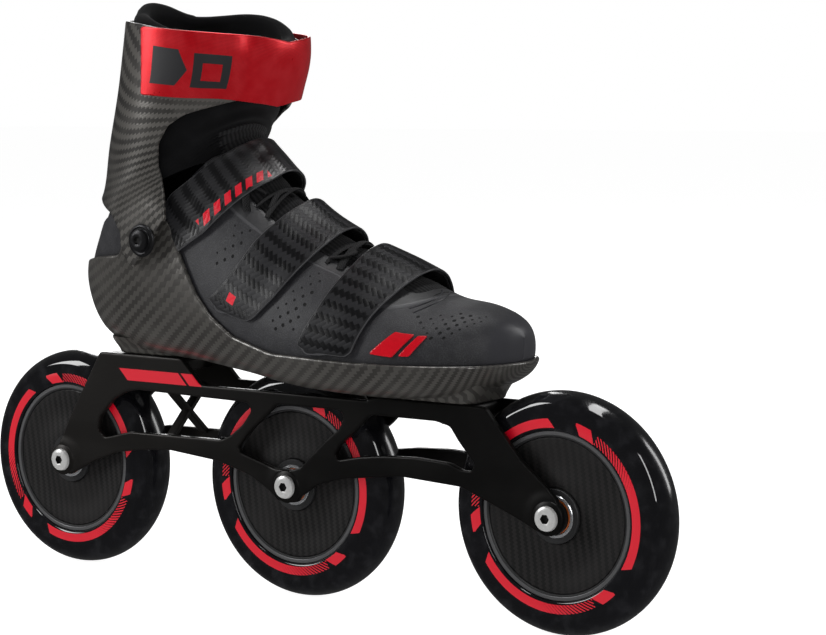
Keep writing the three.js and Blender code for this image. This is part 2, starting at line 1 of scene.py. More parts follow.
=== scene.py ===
"""Looks of an inline speed skate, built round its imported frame. Lengths are in millimetres until
a mesh is made. +X points to the toe, +Y to the inner side of the foot, +Z up."""

import math

import bmesh
import bpy
import numpy as np
from mathutils import Matrix, Vector


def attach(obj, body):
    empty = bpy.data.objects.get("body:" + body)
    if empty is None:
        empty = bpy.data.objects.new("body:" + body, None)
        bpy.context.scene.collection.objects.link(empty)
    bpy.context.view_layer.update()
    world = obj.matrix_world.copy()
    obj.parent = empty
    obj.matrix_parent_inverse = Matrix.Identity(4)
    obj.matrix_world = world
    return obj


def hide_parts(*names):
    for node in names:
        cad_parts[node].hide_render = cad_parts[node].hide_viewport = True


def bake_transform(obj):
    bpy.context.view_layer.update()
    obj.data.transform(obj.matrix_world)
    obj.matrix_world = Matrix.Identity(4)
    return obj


bl_info = {
    "name": "Inline speed skate",
    "version": (1, 0, 0),
    "blender": (4, 5, 0),
    "location": "3D View > Sidebar > Skate",
    "description": "Builds the skate's boot, frame and wheels round the packed parts",
    "category": "Add Mesh",
}

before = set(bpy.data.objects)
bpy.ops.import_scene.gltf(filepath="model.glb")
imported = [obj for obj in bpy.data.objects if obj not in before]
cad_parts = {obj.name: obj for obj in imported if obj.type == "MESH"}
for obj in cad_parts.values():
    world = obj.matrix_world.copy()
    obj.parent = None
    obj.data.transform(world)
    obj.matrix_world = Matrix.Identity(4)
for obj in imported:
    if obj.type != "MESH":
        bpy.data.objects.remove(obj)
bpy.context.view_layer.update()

MM = 0.001
WHEEL_GAP = 166.0
WHEELS = {"rear": -WHEEL_GAP, "middle": 0.0, "front": WHEEL_GAP}
AXLE_HEIGHT = 62.5
PLATE_IN, PLATE_OUT = 14.0, 18.0
DISC_IN, DISC_OUT = 14.2, 39.8
PIVOT = (-76.0, 195.0)
SIDES = {"outer": -1.0, "inner": 1.0}

# ------------------------------------------------------------------ the foot and leg form
# Rows from the toe to the top of the leg: sole or back x and z, crown or front x and z, half
# width, sideways shift, height of the widest point, roundness of the lower and the upper half.
SECTIONS = np.array([
    [136.6, 139, 137.4, 149, 0, 6, 0.45, 2, 2],
    [134, 134, 135, 155, 14, 6, 0.42, 2.2, 2.2],
    [127, 128, 128, 161, 26, 5, 0.38, 2.6, 2.2],
    [110, 122, 115, 166, 36.5, 3, 0.36, 3, 2.1],
    [84, 119.5, 95, 170, 44, 0, 0.34, 3.2, 1.9],
    [52, 119.5, 66, 182, 46.5, -1, 0.33, 3.2, 1.8],
    [16, 121, 37, 193, 45, -2, 0.34, 3.2, 1.75],
    [-20, 125, 11, 206, 41.5, -2, 0.36, 3, 1.75],
    [-58, 129, -12, 223, 38.5, -1, 0.4, 2.8, 1.85],
    [-100, 131, -26, 238, 37.5, 0, 0.44, 2.5, 2],
    [-131, 140, -33, 248, 38.5, 0, 0.48, 2.2, 2.1],
    [-144, 163, -35, 255, 40.5, 0, 0.52, 2, 2.1],
    [-137.5, 186, -33, 262, 41.5, 0, 0.54, 2, 2.1],
    [-125, 212, -29, 271, 42, 0, 0.54, 2, 2.1],
    [-118.5, 240, -23, 283, 42.5, 0, 0.53, 2.1, 2.1],
    [-110.5, 275, -17, 299, 42.5, 0, 0.52, 2.1, 2.1],
    [-103, 318, -18, 322, 42, 0, 0.52, 2.1, 2.1],
])
LAST = len(SECTIONS) - 1
ROW_MM = 27.0
ROUND_MM = 42.0
LEG_RISE_MM = 43.0


def ramp(value, low, high):
    """0 below low, 1 above high, and 3t2 - 2t3 between them."""
    t = np.clip((value - low) / (high - low), 0, 1)
    return t * t * (3 - 2 * t)


def section_at(s):
    """The section values at s: a Catmull-Rom cubic through the rows, and past the last row the
    two heights go on rising evenly."""
    place = np.clip(s, 0, LAST - 1e-9)
    index = np.floor(place).astype(int)
    f = (place - index)[..., None]
    p0, p1, p2, p3 = (SECTIONS[np.clip(index + k, 0, LAST)] for k in (-1, 0, 1, 2))
    value = 0.5 * (2 * p1 + (p2 - p0) * f + (2 * p0 - 5 * p1 + 4 * p2 - p3) * f**2
                   + (3 * p1 - p0 - 3 * p2 + p3) * f**3)
    rise = np.maximum(s - LAST, 0) * LEG_RISE_MM
    value[..., 1] += rise
    value[..., 3] += rise
    return value


def form(s, v):
    """A point of the form at section s and angle v, 0 under the sole, pi on the crown, positive
    round the outer side. Each half is a superellipse: reach is |cos v| and side is |sin v|, both
    to the power 2 / roundness. The sole is hollowed over the middle wheel by a Gauss bump."""
    s, v = np.broadcast_arrays(np.asarray(s, float), np.asarray(v, float))
    back_x, back_z, front_x, front_z, half, shift, widest, sole, crown = np.moveaxis(section_at(s), -1, 0)
    low = np.cos(v) > 0
    power = 2 / np.where(low, sole, crown)
    reach = np.abs(np.cos(v)) ** power
    height = np.where(low, widest * (1 - reach), widest + (1 - widest) * reach)
    side = half * np.sign(np.sin(v)) * np.abs(np.sin(v)) ** power
    x = back_x + (front_x - back_x) * height
    z = back_z + (front_z - back_z) * height
    z = z + np.where(low, 9 * np.exp(-(((x - 3) / 24) ** 2)) / (1 + (side / 19) ** 6), 0)
    return np.stack([x, shift - side, z], -1)


def skin(s, v, offset):
    """The form's point moved out along its normal, the cross product of its two slopes."""
    step = 1e-3
    along = form(s + step, v) - form(s - step, v)
    around = form(s, v + step) - form(s, v - step)
    normal = np.cross(around, along)
    normal /= np.maximum(np.linalg.norm(normal, axis=-1, keepdims=True), 1e-9)
    return form(s, v) + normal * np.asarray(offset)[..., None]


# ------------------------------------------------------------------ outlines
def smoothed(points, rounds=3):
    """A closed outline with its corners cut at a quarter and three quarters, several times."""
    points = np.array(points, float)
    for _ in range(rounds):
        after = np.roll(points, -1, 0)
        points = np.stack([0.75 * points + 0.25 * after, 0.25 * points + 0.75 * after], 1).reshape(-1, 2)
    return points


def arc(centre, radius, start, end, count):
    """Points on a circle from one angle to another, in degrees."""
    angle = np.radians(np.linspace(start, end, count))
    return np.stack([centre[0] + radius * np.cos(angle), centre[1] + radius * np.sin(angle)], -1).tolist()


def outline_field(points):
    """A function of two lengths: the distance to a closed outline, negative inside it. The sign
    comes from how many sides a ray crosses. The distances are worked out once on a fine net and
    read from it evenly between its points."""
    cell, reach = 0.5, 9.0
    points = np.array(points, float)
    low = points.min(0) - reach
    count = np.ceil((points.max(0) + reach - low) / cell).astype(int) + 1
    x, z = np.meshgrid(*(low[k] + cell * np.arange(count[k]) for k in (0, 1)), indexing="ij")
    nearest = np.full(x.shape, 1e9)
    inside = np.zeros(x.shape, bool)
    for (ax, az), (bx, bz) in zip(points, np.roll(points, -1, 0)):
        dx, dz = bx - ax, bz - az
        t = ((x - ax) * dx + (z - az) * dz) / max(dx * dx + dz * dz, 1e-12)
        t = np.minimum(np.maximum(t, 0), 1)
        nearest = np.minimum(nearest, (x - ax - t * dx) ** 2 + (z - az - t * dz) ** 2)
        if dz != 0:
            inside ^= ((az > z) != (bz > z)) & (x < ax + (z - az) * dx / dz)
    table = np.where(inside, -1, 1) * np.sqrt(nearest)

    def field(x, z):
        a = np.clip((x - low[0]) / cell, 0, count[0] - 1.001)
        b = np.clip((z - low[1]) / cell, 0, count[1] - 1.001)
        i, j = a.astype(int), b.astype(int)
        a, b = a - i, b - j
        near = table[i, j] * (1 - a) + table[i + 1, j] * a
        far = table[i, j + 1] * (1 - a) + table[i + 1, j + 1] * a
        return near * (1 - b) + far * b

    return field


# ------------------------------------------------------------------ meshes
class Patch:
    """Points in millimetres, four-cornered faces, a UV pair for each face corner, and values
    kept on the points under a name."""

    def __init__(self, points, faces, uv, edge=None, finish=0):
        self.points = np.asarray(points, float).reshape(-1, 3)
        self.faces = np.asarray(faces, int).reshape(-1, 4)
        self.uv = np.asarray(uv, float).reshape(-1, 4, 2)
        self.edge = np.full(len(self.points), -99.0) if edge is None else np.asarray(edge, float).ravel()
        self.finish = finish


def grid_faces(rows, columns):
    """The cells of a grid of points, each as its four corners in turn."""
    index = np.arange(rows * columns).reshape(rows, columns)
    return np.stack([index[:-1, :-1], index[:-1, 1:], index[1:, 1:], index[1:, :-1]], -1).reshape(-1, 4)


def grid_patch(points, uv):
    """One patch from a grid of points and its UV pairs."""
    rows, columns = points.shape[:2]
    faces = grid_faces(rows, columns)
    return Patch(points, faces, uv.reshape(-1, 2)[faces])


def piece(name, patches, materials, body, stands_for=(), outward=True, sharp=40.0,
          merge=0.002):
    """Makes one Blender object from patches. Doubled points are merged, so that seams and poles
    close, and the faces of a closed shape are turned outwards."""
    patches = patches if isinstance(patches, list) else [patches]
    materials = materials if isinstance(materials, list) else [materials]
    counts = np.cumsum([0] + [len(p.points) for p in patches])
    points = np.concatenate([p.points for p in patches])
    faces = np.concatenate([p.faces + start for p, start in zip(patches, counts)])
    mesh = bpy.data.meshes.new(name)
    mesh.vertices.add(len(points))
    mesh.vertices.foreach_set("co", (points * MM).ravel())
    mesh.loops.add(faces.size)
    mesh.loops.foreach_set("vertex_index", faces.ravel())
    mesh.polygons.add(len(faces))
    mesh.polygons.foreach_set("loop_start", np.arange(len(faces)) * 4)
    finishes = np.concatenate([np.broadcast_to(p.finish, len(p.faces)) for p in patches])
    mesh.polygons.foreach_set("material_index", finishes)
    mesh.update(calc_edges=True)
    layer = mesh.uv_layers.new(name="pattern")
    layer.uv.foreach_set("vector", np.concatenate([p.uv.reshape(-1, 2) for p in patches]).ravel())
    edge = mesh.attributes.new("edge", "FLOAT", "POINT")
    edge.data.foreach_set("value", np.concatenate([p.edge for p in patches]).astype(np.float32))
    work = bmesh.new()
    work.from_mesh(mesh)
    bmesh.ops.remove_doubles(work, verts=work.verts, dist=merge * MM)
    bmesh.ops.dissolve_degenerate(work, edges=work.edges, dist=merge * MM * 0.1)
    if outward:
        bmesh.ops.recalc_face_normals(work, faces=work.faces)
    for face in work.faces:
        face.smooth = True
    work.to_mesh(mesh)
    work.free()
    mesh.set_sharp_from_angle(angle=math.radians(sharp))
    made = bpy.data.objects.new(name, mesh)
    bpy.context.scene.collection.objects.link(made)
    for material in materials:
        mesh.materials.append(material)
    settle(made, body, stands_for)
    return made


def settle(made, body, stands_for=()):
    """The piece rides on its body, or, given two bodies, is left unattached where it stands, and stands for
    its CAD nodes.
    """
    if isinstance(body, tuple):
        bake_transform(made)
    else:
        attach(made, body)
    if stands_for:
        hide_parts(*stands_for)


def turned(profile, segments, x, z=AXLE_HEIGHT, hexed=(), closed=True):
    """A profile of (radius, y) carried round the Y axis at (x, z). In the hexed rows the radius is
    that of a hexagon: radius times cos 30 over the cosine of the angle from the nearest flat.
    The UV pair is the turn, from 0 to 1, and the radius."""
    profile = np.array(list(profile) + ([profile[0]] if closed else []), float)
    theta = np.linspace(0, 2 * np.pi, segments + 1)
    radius = np.repeat(profile[:, :1], segments + 1, 1)
    flat = np.cos(np.pi / 6) / np.cos(np.mod(theta, np.pi / 3) - np.pi / 6)
    for row in hexed:
        radius[row] = radius[row] * flat
    y = np.repeat(profile[:, 1:], segments + 1, 1)
    points = np.stack([x + radius * np.cos(theta), y, z + radius * np.sin(theta)], -1)
    uv = np.stack([np.repeat(theta[None] / (2 * np.pi), len(profile), 0), radius], -1)
    return grid_patch(points, uv)


def rim_profile(inner, outer, radius, steps=5):
    """Rows of (offset, level) round the cut edge of a sheet: a half round when radius is half the
    thickness, and two quarter rounds otherwise."""
    angle = np.linspace(0, np.pi / 2, steps)
    first = [(inner + radius * (1 - np.cos(a)), radius * (np.sin(a) - 1)) for a in angle]
    second = [(outer - radius * (1 - np.cos(a)), radius * (np.sin(a) - 1)) for a in angle[::-1]]
    return first + second


def cut_sheet(surface, field, u, v, profile, scale, closed=False, finish=0):
    """A sheet with thickness, cut along the line where field(u, v) is zero and kept where it is
    negative. Cells with a corner inside are kept, and their outer corners are moved down the
    field's slope on to the line. profile lists (offset, level) from the inner face round the
    edge to the outer face: surface(u, v, offset) places each row, cut at that level."""
    grid_u, grid_v = np.meshgrid(u, v, indexing="ij")
    shape = grid_u.shape
    inside = field(grid_u, grid_v) < profile[0][1]
    raw = np.arange(grid_u.size).reshape(shape)
    index = raw.copy()
    if closed:
        index[:, -1] = index[:, 0]
    keep = (inside[:-1, :-1] | inside[:-1, 1:] | inside[1:, 1:] | inside[1:, :-1]).ravel()
    cells = grid_faces(*shape)[keep]
    quads = index.ravel()[cells]
    used = np.unique(quads)
    rim = used[~inside.ravel()[used]]
    flat_u, flat_v = grid_u.ravel().astype(float), grid_v.ravel().astype(float)
    su, sv = scale

    def slid(level):
        a, b = flat_u.copy(), flat_v.copy()
        for _ in range(6):
            ra, rb = a[rim], b[rim]
            value = field(ra, rb)
            da = (field(ra + 0.02 / su, rb) - field(ra - 0.02 / su, rb)) / 0.04
            db = (field(ra, rb + 0.02 / sv) - field(ra, rb - 0.02 / sv)) / 0.04
            size = np.maximum(da * da + db * db, 0.05)
            a[rim] = ra - np.clip((value - level) * da / size, -4, 4) / su
            b[rim] = rb - np.clip((value - level) * db / size, -4, 4) / sv
        return a, b

    edges = quads[:, [[0, 1], [1, 2], [2, 3], [3, 0]]].reshape(-1, 2)
    key = edges[:, 0] * grid_u.size + edges[:, 1]
    back = edges[:, 1] * grid_u.size + edges[:, 0]
    border = edges[~np.isin(key, back)]
    border = border[border[:, 0] != border[:, 1]]
    loop = np.unique(border)
    place = np.zeros(grid_u.size, int)
    place[used] = np.arange(len(used))
    on_loop = np.zeros(grid_u.size, int)
    on_loop[loop] = np.arange(len(loop))
    patches, starts, start = [], [], 0
    last = len(profile) - 1
    for k, (offset, level) in enumerate(profile):
        a, b = slid(level)
        whole = k in (0, last)
        chosen = used if whole else loop
        points = surface(a[chosen], b[chosen], np.full(len(chosen), float(offset)))
        starts.append((start, place if whole else on_loop))
        start += len(chosen)
        edge_values = field(a[chosen], b[chosen])
        if whole:
            if closed:
                a, b = a.copy(), b.copy()
                seam = raw[:, -1]
                a[seam], b[seam] = a[raw[:, 0]], b[raw[:, 0]] + (v[-1] - v[0])
            pattern = np.stack([a * su, b * sv], -1)
            faces = place[quads]
            patches.append((points, faces if k else faces[:, ::-1],
                            pattern[cells] if k else pattern[cells[:, ::-1]], edge_values))
        else:
            patches.append((points, None, None, edge_values))
        if k:
            (s0, m0), (s1, m1) = starts[-2], starts[-1]
            wall = np.stack([m0[border[:, 0]] + s0, m0[border[:, 1]] + s0,
                             m1[border[:, 1]] + s1, m1[border[:, 0]] + s1], -1)
            corners = border[:, [0, 1, 1, 0]]
            wall_uv = np.stack([a * su, b * sv], -1)[corners]
            patches.append((np.zeros((0, 3)), ("wall", wall), wall_uv, np.zeros(0)))
    points = np.concatenate([p[0] for p in patches])
    edge = np.concatenate([p[3] for p in patches])
    faces, uvs, start = [], [], 0
    for points_k, faces_k, uv_k, _ in patches:
        if isinstance(faces_k, tuple):
            faces.append(faces_k[1])
            uvs.append(uv_k)
        elif faces_k is not None:
            faces.append(faces_k + start)
            uvs.append(uv_k)
        start += len(points_k)
    return Patch(points, np.concatenate(faces), np.concatenate(uvs), edge, finish)


def slab(outline, start, end, radius, step, holes=(), axis="y", shape=None):
    """A flat outline carried along Y or X from start to end, with rounded edges: its field is the
    larger of the outline's distance and each hole's, turned round. shape may move the points."""
    outline = np.array(outline, float)
    line = outline_field(outline)
    cuts = [outline_field(h) for h in holes]

    def field(a, b):
        return np.maximum.reduce([line(a, b)] + [-cut(a, b) for cut in cuts])

    def surface(a, b, offset):
        points = np.stack([a, offset, b] if axis == "y" else [offset, a, b], -1)
        return shape(points) if shape else points

    low, high = outline.min(0) - 1.7 * step, outline.max(0) + 1.7 * step
    u = np.arange(low[0], high[0], step)
    v = np.arange(low[1], high[1], step)
    return cut_sheet(surface, field, u, v, rim_profile(start, end, radius, 4), (1.0, 1.0))


# ------------------------------------------------------------------ materials
class Finish:
    """A material's node tree, written as sums. Numbers and sockets can be mixed freely."""

    def __init__(self, name, **values):
        self.material = bpy.data.materials.new(name)
        self.material.use_nodes = True
        self.tree = self.material.node_tree
        self.shader = self.tree.nodes["Principled BSDF"]
        for key, value in values.items():
            self.shader.inputs[key.replace("_", " ")].default_value = value

    def put(self, node, socket, value):
        if isinstance(value, bpy.types.NodeSocket):
            self.tree.links.new(value, node.inputs[socket])
        else:
            node.inputs[socket].default_value = value

    def math(self, operation, a, b=0.0):
        node = self.tree.nodes.new("ShaderNodeMath")
        node.operation = operation
        for index, value in enumerate((a, b)):
            self.put(node, index, value)
        return node.outputs[0]

    def times(self, first, *others):
        for value in others:
            first = self.math("MULTIPLY", first, value)
        return first

    def plus(self, a, b):
        return self.math("ADD", a, b)

    def minus(self, a, b):
        return self.math("SUBTRACT", a, b)

    def divided(self, a, b):
        return self.math("DIVIDE", a, b)

    def above(self, value, limit):
        return self.math("GREATER_THAN", value, limit)

    def below(self, value, limit):
        return self.math("LESS_THAN", value, limit)

    def within(self, value, low, high):
        """1 between low and high, 0 elsewhere."""
        return self.times(self.above(value, low), self.below(value, high))

    def sine(self, value):
        return self.math("SINE", value)

    def fraction(self, value):
        return self.math("FRACT", value)

    def absolute(self, value):
        return self.math("ABSOLUTE", value)

    def most(self, a, b):
        return self.math("MAXIMUM", a, b)

    def floor(self, value):
        return self.math("FLOOR", value)

    def modulo(self, a, b):
        return self.math("FLOORED_MODULO", a, b)

    def mix(self, share, a, b):
        """A colour between a and b."""
        node = self.tree.nodes.new("ShaderNodeMix")
        node.data_type = "RGBA"
        self.put(node, "Factor", share)
        self.put(node, 6, a)
        self.put(node, 7, b)
        return node.outputs[2]

    def blend(self, share, a, b):
        """A number between a and b."""
        node = self.tree.nodes.new("ShaderNodeMix")
        self.put(node, "Factor", share)
        self.put(node, 2, a)
        self.put(node, 3, b)
        return node.outputs[0]

    def over(self, value, low, high):
        """0 below low, 1 above high, smooth between."""
        node = self.tree.nodes.new("ShaderNodeMapRange")
        node.interpolation_type = "SMOOTHSTEP"
        for socket, x in (("Value", value), ("From Min", low), ("From Max", high)):
            self.put(node, socket, x)
        return node.outputs[0]

    def place(self, uv=False):
        """The three numbers of the object's own coordinates in millimetres, or of its UV map."""
        node = self.tree.nodes.new("ShaderNodeTexCoord")
        split = self.tree.nodes.new("ShaderNodeSeparateXYZ")
        self.tree.links.new(node.outputs["UV" if uv else "Object"], split.inputs[0])
        found = [split.outputs[k] for k in range(3)]
        return found if uv else [self.times(f, 1000.0) for f in found]

    def joined(self, x, y, z=0.0):
        """A vector from three numbers."""
        node = self.tree.nodes.new("ShaderNodeCombineXYZ")
        for index, value in enumerate((x, y, z)):
            self.put(node, index, value)
        return node.outputs[0]

    def noise(self, size, detail=3.0, vector=None):
        """Noise whose grains are about size millimetres across."""
        node = self.tree.nodes.new("ShaderNodeTexNoise")
        vector = vector or self.joined(*self.place())
        self.tree.links.new(vector, node.inputs["Vector"])
        node.inputs["Scale"].default_value = 1.0 / size
        node.inputs["Detail"].default_value = detail
        return node.outputs[0]

    def cells(self, size):
        """The distance to the nearest of scattered points about size millimetres apart."""
        node = self.tree.nodes.new("ShaderNodeTexVoronoi")
        self.tree.links.new(self.joined(*self.place()), node.inputs["Vector"])
        node.inputs["Scale"].default_value = 1.0 / size
        return node.outputs["Distance"]

    def kept(self, name):
        """The values kept on the mesh's points under a name."""
        node = self.tree.nodes.new("ShaderNodeAttribute")
        node.attribute_name = name
        return node.outputs["Fac"]

    def bump(self, height, depth, strength=1.0):
        """Raises the surface by height times depth millimetres."""
        node = self.tree.nodes.new("ShaderNodeBump")
        node.inputs["Strength"].default_value = strength
        node.inputs["Distance"].default_value = depth * MM
        self.put(node, "Height", height)
        self.tree.links.new(node.outputs[0], self.shader.inputs["Normal"])
        return node

    def colour(self, value):
        self.put(self.shader, "Base Color", value)

    def rough(self, value):
        self.put(self.shader, "Roughness", value)

    def twill(self, a, b, pitch):
        """A 2 by 2 twill over the coordinates a and b: the tow index of one plus that of the
        other, modulo 4, is under 2 where the first lies on top. Returns which tow is on top and
        how high its round back stands."""
        ua, vb = self.divided(a, pitch), self.divided(b, pitch)
        index = self.plus(self.floor(ua), self.floor(vb))
        turn = self.modulo(index, 4.0)
        top = self.below(turn, 1.5)
        back_a = self.sine(self.times(self.fraction(ua), math.pi))
        back_b = self.sine(self.times(self.fraction(vb), math.pi))
        return top, self.blend(top, back_b, back_a)


def rgb(r, g, b):
    return (r, g, b, 1.0)


def grey(tone, cool=1.0):
    """A grey whose blue is a little stronger."""
    return (tone, tone, tone * cool)


def carbon(name, pitch, light, dark, turn, uv=True, bright=0.4, shine=0.3, coat=0.4, painted_shade_span=None):
    """Clear-coated twill: two tow directions of different brightness under a glossy coat. The last
    argument gives two places along X: the tows are darkest behind the first, a painted shade."""
    finish = Finish(name, Roughness=shine, Metallic=0.45, Coat_Weight=coat, Coat_Roughness=0.12)
    x, y, z = finish.place(uv)
    a, b = (x, y) if uv else (x, z)
    c, s = math.cos(math.radians(turn)), math.sin(math.radians(turn))
    ta = finish.minus(finish.times(a, c), finish.times(b, s))
    tb = finish.plus(finish.times(a, s), finish.times(b, c))
    top, back = finish.twill(ta, tb, pitch)
    fibre = finish.noise(0.9, 2.0, finish.joined(finish.times(ta, 3.0), tb))
    cloud = finish.noise(28.0, 3.0)
    base = finish.mix(top, dark, light)
    base = finish.mix(finish.times(fibre, bright), base, dark)
    base = finish.mix(finish.over(cloud, 0.35, 0.75), base, finish.mix(0.5, base, light))
    # Painted shade: behind the first place along X the tows are mixed towards near black, darkening the back
    # of the cuff.
    if painted_shade_span:
        behind = finish.minus(1.0, finish.over(finish.place()[0], *painted_shade_span))
        base = finish.mix(finish.times(behind, 0.85), base, rgb(0.003, 0.003, 0.003))
    finish.colour(base)
    finish.rough(finish.blend(top, shine + 0.14, shine))
    finish.bump(back, 0.05, 0.5)
    return finish.material


def urethane(name, turn, red):
    """Cast black tyre with three printed arcs. Each arc has a solid end piece, slanted lines that
    thicken along it, and a solid run to a slanted point."""
    finish = Finish(name, Base_Color=rgb(0.006, 0.006, 0.007), Roughness=0.09, Coat_Weight=0.3,
                    Coat_Roughness=0.03)
    u, radius, _ = finish.place(True)
    third = finish.times(finish.minus(turn, u), 3.0)
    slant = finish.times(finish.minus(radius, 47.0), 0.008)
    t = finish.fraction(third)
    leaning = finish.plus(t, slant)
    solid_end = finish.below(leaning, 0.11)
    run = finish.times(finish.above(t, 0.13), finish.below(leaning, 0.86))
    stripe = finish.fraction(finish.times(finish.plus(t, finish.times(slant, 1.4)), 46.0))
    duty = finish.blend(finish.over(t, 0.12, 0.5), 0.42, 1.02)
    lines = finish.below(stripe, duty)
    ring = finish.within(radius, 44.9, 49.6)
    wide = finish.within(radius, 44.5, 50.2)
    end_piece = finish.times(solid_end, finish.above(leaning, 0.015), wide)
    mask = finish.most(end_piece, finish.times(run, lines, ring))
    scuff = finish.noise(7.0, 4.0)
    black = finish.mix(finish.over(scuff, 0.45, 0.8), rgb(0.004, 0.004, 0.005), rgb(0.013, 0.013, 0.015))
    finish.colour(finish.mix(mask, black, red))
    worn = finish.over(radius, 58.5, 62.4)
    finish.rough(finish.blend(mask, finish.plus(finish.times(scuff, 0.08), finish.times(worn, 0.16)), 0.34))
    finish.bump(finish.noise(0.8, 2.0), 0.02, 0.25)
    return finish.material


def anodised(name, red):
    """Satin anodised metal with a fine grain, painted lighter towards the heel and darker towards the toe
    (painted light), and one printed parallelogram on the outer plate.
    """
    finish = Finish(name, Metallic=0.85)
    x, y, z = finish.place()
    grain = finish.noise(0.55, 2.0, finish.joined(finish.times(x, 0.12), y, z))
    cloud = finish.noise(45.0, 2.0)
    # Painted light: the frame is coloured lighter towards the heel and darker towards the toe.
    tone = finish.mix(finish.over(x, -150.0, 70.0), rgb(0.024, 0.022, 0.0205), rgb(0.008, 0.0076, 0.0074))
    tone = finish.mix(finish.times(grain, 0.35), tone, rgb(0.008, 0.008, 0.008))
    tone = finish.mix(finish.over(cloud, 0.4, 0.8), tone, finish.mix(0.2, tone, rgb(0.04, 0.0375, 0.035)))
    slope = finish.times(finish.minus(z, 116.0), 0.95)
    leaning = finish.plus(x, slope)
    gap = finish.above(finish.absolute(finish.plus(leaning, 72.0)), 1.0)
    mask = finish.times(finish.within(leaning, -117.0, -62.0), finish.within(z, 112.6, 119.2),
                        finish.above(finish.absolute(y), 17.6), gap)
    finish.colour(finish.mix(mask, tone, red))
    finish.put(finish.shader, "Metallic", finish.minus(0.7, finish.times(mask, 0.7)))
    finish.rough(finish.blend(mask, finish.plus(0.3, finish.times(grain, 0.16)), 0.38))
    finish.bump(grain, 0.02, 0.3)
    return finish.material


def microfibre(name):
    """Fine-grained black synthetic leather, smoother and lighter in a strip along its cut edge."""
    finish = Finish(name, Roughness=0.5, Sheen_Weight=0.02, Specular_IOR_Level=0.4)
    edge = finish.kept("edge")
    strip = finish.over(edge, -7.2, -6.8)
    seam = finish.minus(finish.over(edge, -7.6, -7.2), finish.over(edge, -6.8, -6.4))
    u = finish.place(True)[0]
    grain = finish.cells(0.75)
    soft = finish.noise(6.0, 4.0)
    toe = finish.minus(1.0, finish.over(u, 34.0, 62.0))
    cloth = finish.mix(finish.times(grain, 1.1), rgb(0.011, 0.011, 0.013), rgb(0.034, 0.034, 0.038))
    cloth = finish.mix(finish.over(soft, 0.4, 0.75), cloth, rgb(0.016, 0.016, 0.019))
    smooth = finish.mix(finish.over(soft, 0.3, 0.8), rgb(0.026, 0.026, 0.028), rgb(0.04, 0.04, 0.042))
    tone = finish.mix(strip, cloth, smooth)
    tone = finish.mix(toe, tone, rgb(0.032, 0.032, 0.037))
    tone = finish.mix(finish.times(seam, 0.7), tone, rgb(0.07, 0.07, 0.075))
    finish.colour(tone)
    calm = finish.minus(1.0, finish.most(strip, toe))
    finish.rough(finish.blend(toe, finish.blend(strip, 0.52, 0.42), 0.36))
    height = finish.plus(finish.times(grain, calm), finish.times(finish.noise(0.5, 2.0), 0.5))
    height = finish.minus(height, finish.times(seam, 2.0))
    finish.bump(height, 0.12, 0.55)
    return finish.material


def strap_face(name, marks=None, red=None, shine=0.5, coat=0.2):
    """Coated strap with a bold twill print and a sealed edge, and a row of plain slanted bars
    where marks says."""
    finish = Finish(name, Specular_IOR_Level=shine, Coat_Weight=coat, Coat_Roughness=0.25)
    u, v, _ = finish.place(True)
    edge = finish.kept("edge")
    lean = finish.times(finish.plus(u, v), 0.7071)
    rise = finish.times(finish.minus(v, u), 0.7071)
    top, back = finish.twill(lean, rise, 2.3)
    fibre = finish.noise(0.6, 2.0)
    tone = finish.mix(top, rgb(0.002, 0.002, 0.0025), rgb(0.016, 0.016, 0.018))
    tone = finish.mix(finish.times(fibre, 0.35), tone, rgb(0.01, 0.01, 0.011))
    border = finish.over(edge, -1.6, -1.2)
    tone = finish.mix(border, tone, rgb(0.014, 0.014, 0.015))
    glint = finish.minus(finish.over(edge, -0.7, -0.3), finish.over(edge, -0.2, 0.1))
    tone = finish.mix(finish.times(glint, 0.6), tone, rgb(0.09, 0.09, 0.095))
    if marks:
        first, last, start, slope, low, high, pitch, share = marks
        above = finish.minus(u, finish.plus(start, finish.times(v, slope)))
        leaning = finish.divided(finish.minus(v, finish.times(above, 0.35)), pitch)
        bars = finish.below(finish.fraction(leaning), share)
        bars = finish.times(bars, finish.within(above, low, high), finish.within(v, first, last))
        tone = finish.mix(bars, tone, red)
    finish.colour(tone)
    finish.rough(finish.blend(top, 0.3, 0.42))
    finish.bump(finish.times(back, finish.minus(1.0, border)), 0.09, 0.6)
    return finish.material


def knit(name, pitch, tone):
    """Ribbed knit: round ribs across, each with a fine stitch pattern."""
    finish = Finish(name, Roughness=0.95, Specular_IOR_Level=0.2, Sheen_Weight=0.03, Sheen_Roughness=0.6)
    u, v, _ = finish.place(True)
    rib = finish.sine(finish.times(v, 2 * math.pi / pitch / 1.6))
    stitch = finish.sine(finish.plus(finish.times(u, 2 * math.pi / pitch), finish.times(rib, 1.2)))
    lint = finish.noise(0.35, 3.0)
    high = finish.plus(rib, finish.times(stitch, 0.35))
    share = finish.over(high, -1.2, 1.2)
    base = finish.mix(share, rgb(*grey(tone * 0.3, 1.17)), rgb(*grey(tone * 1.5, 1.07)))
    finish.colour(finish.mix(finish.times(lint, 0.4), base, rgb(*grey(tone))))
    finish.bump(finish.plus(high, lint), 0.18, 0.6)
    return finish.material


def suede(name):
    """Brushed black lining over foam, with a soft nap and faint clouds."""
    finish = Finish(name, Roughness=0.95, Specular_IOR_Level=0.15, Sheen_Weight=0.04, Sheen_Roughness=0.45)
    nap = finish.noise(0.5, 4.0)
    cloud = finish.noise(14.0, 3.0)
    base = finish.mix(nap, rgb(0.0012, 0.0012, 0.0015), rgb(0.006, 0.006, 0.0066))
    finish.colour(finish.mix(finish.over(cloud, 0.4, 0.8), base, rgb(0.006, 0.006, 0.0066)))
    finish.bump(finish.plus(nap, finish.times(cloud, 3.0)), 0.12, 0.5)
    return finish.material


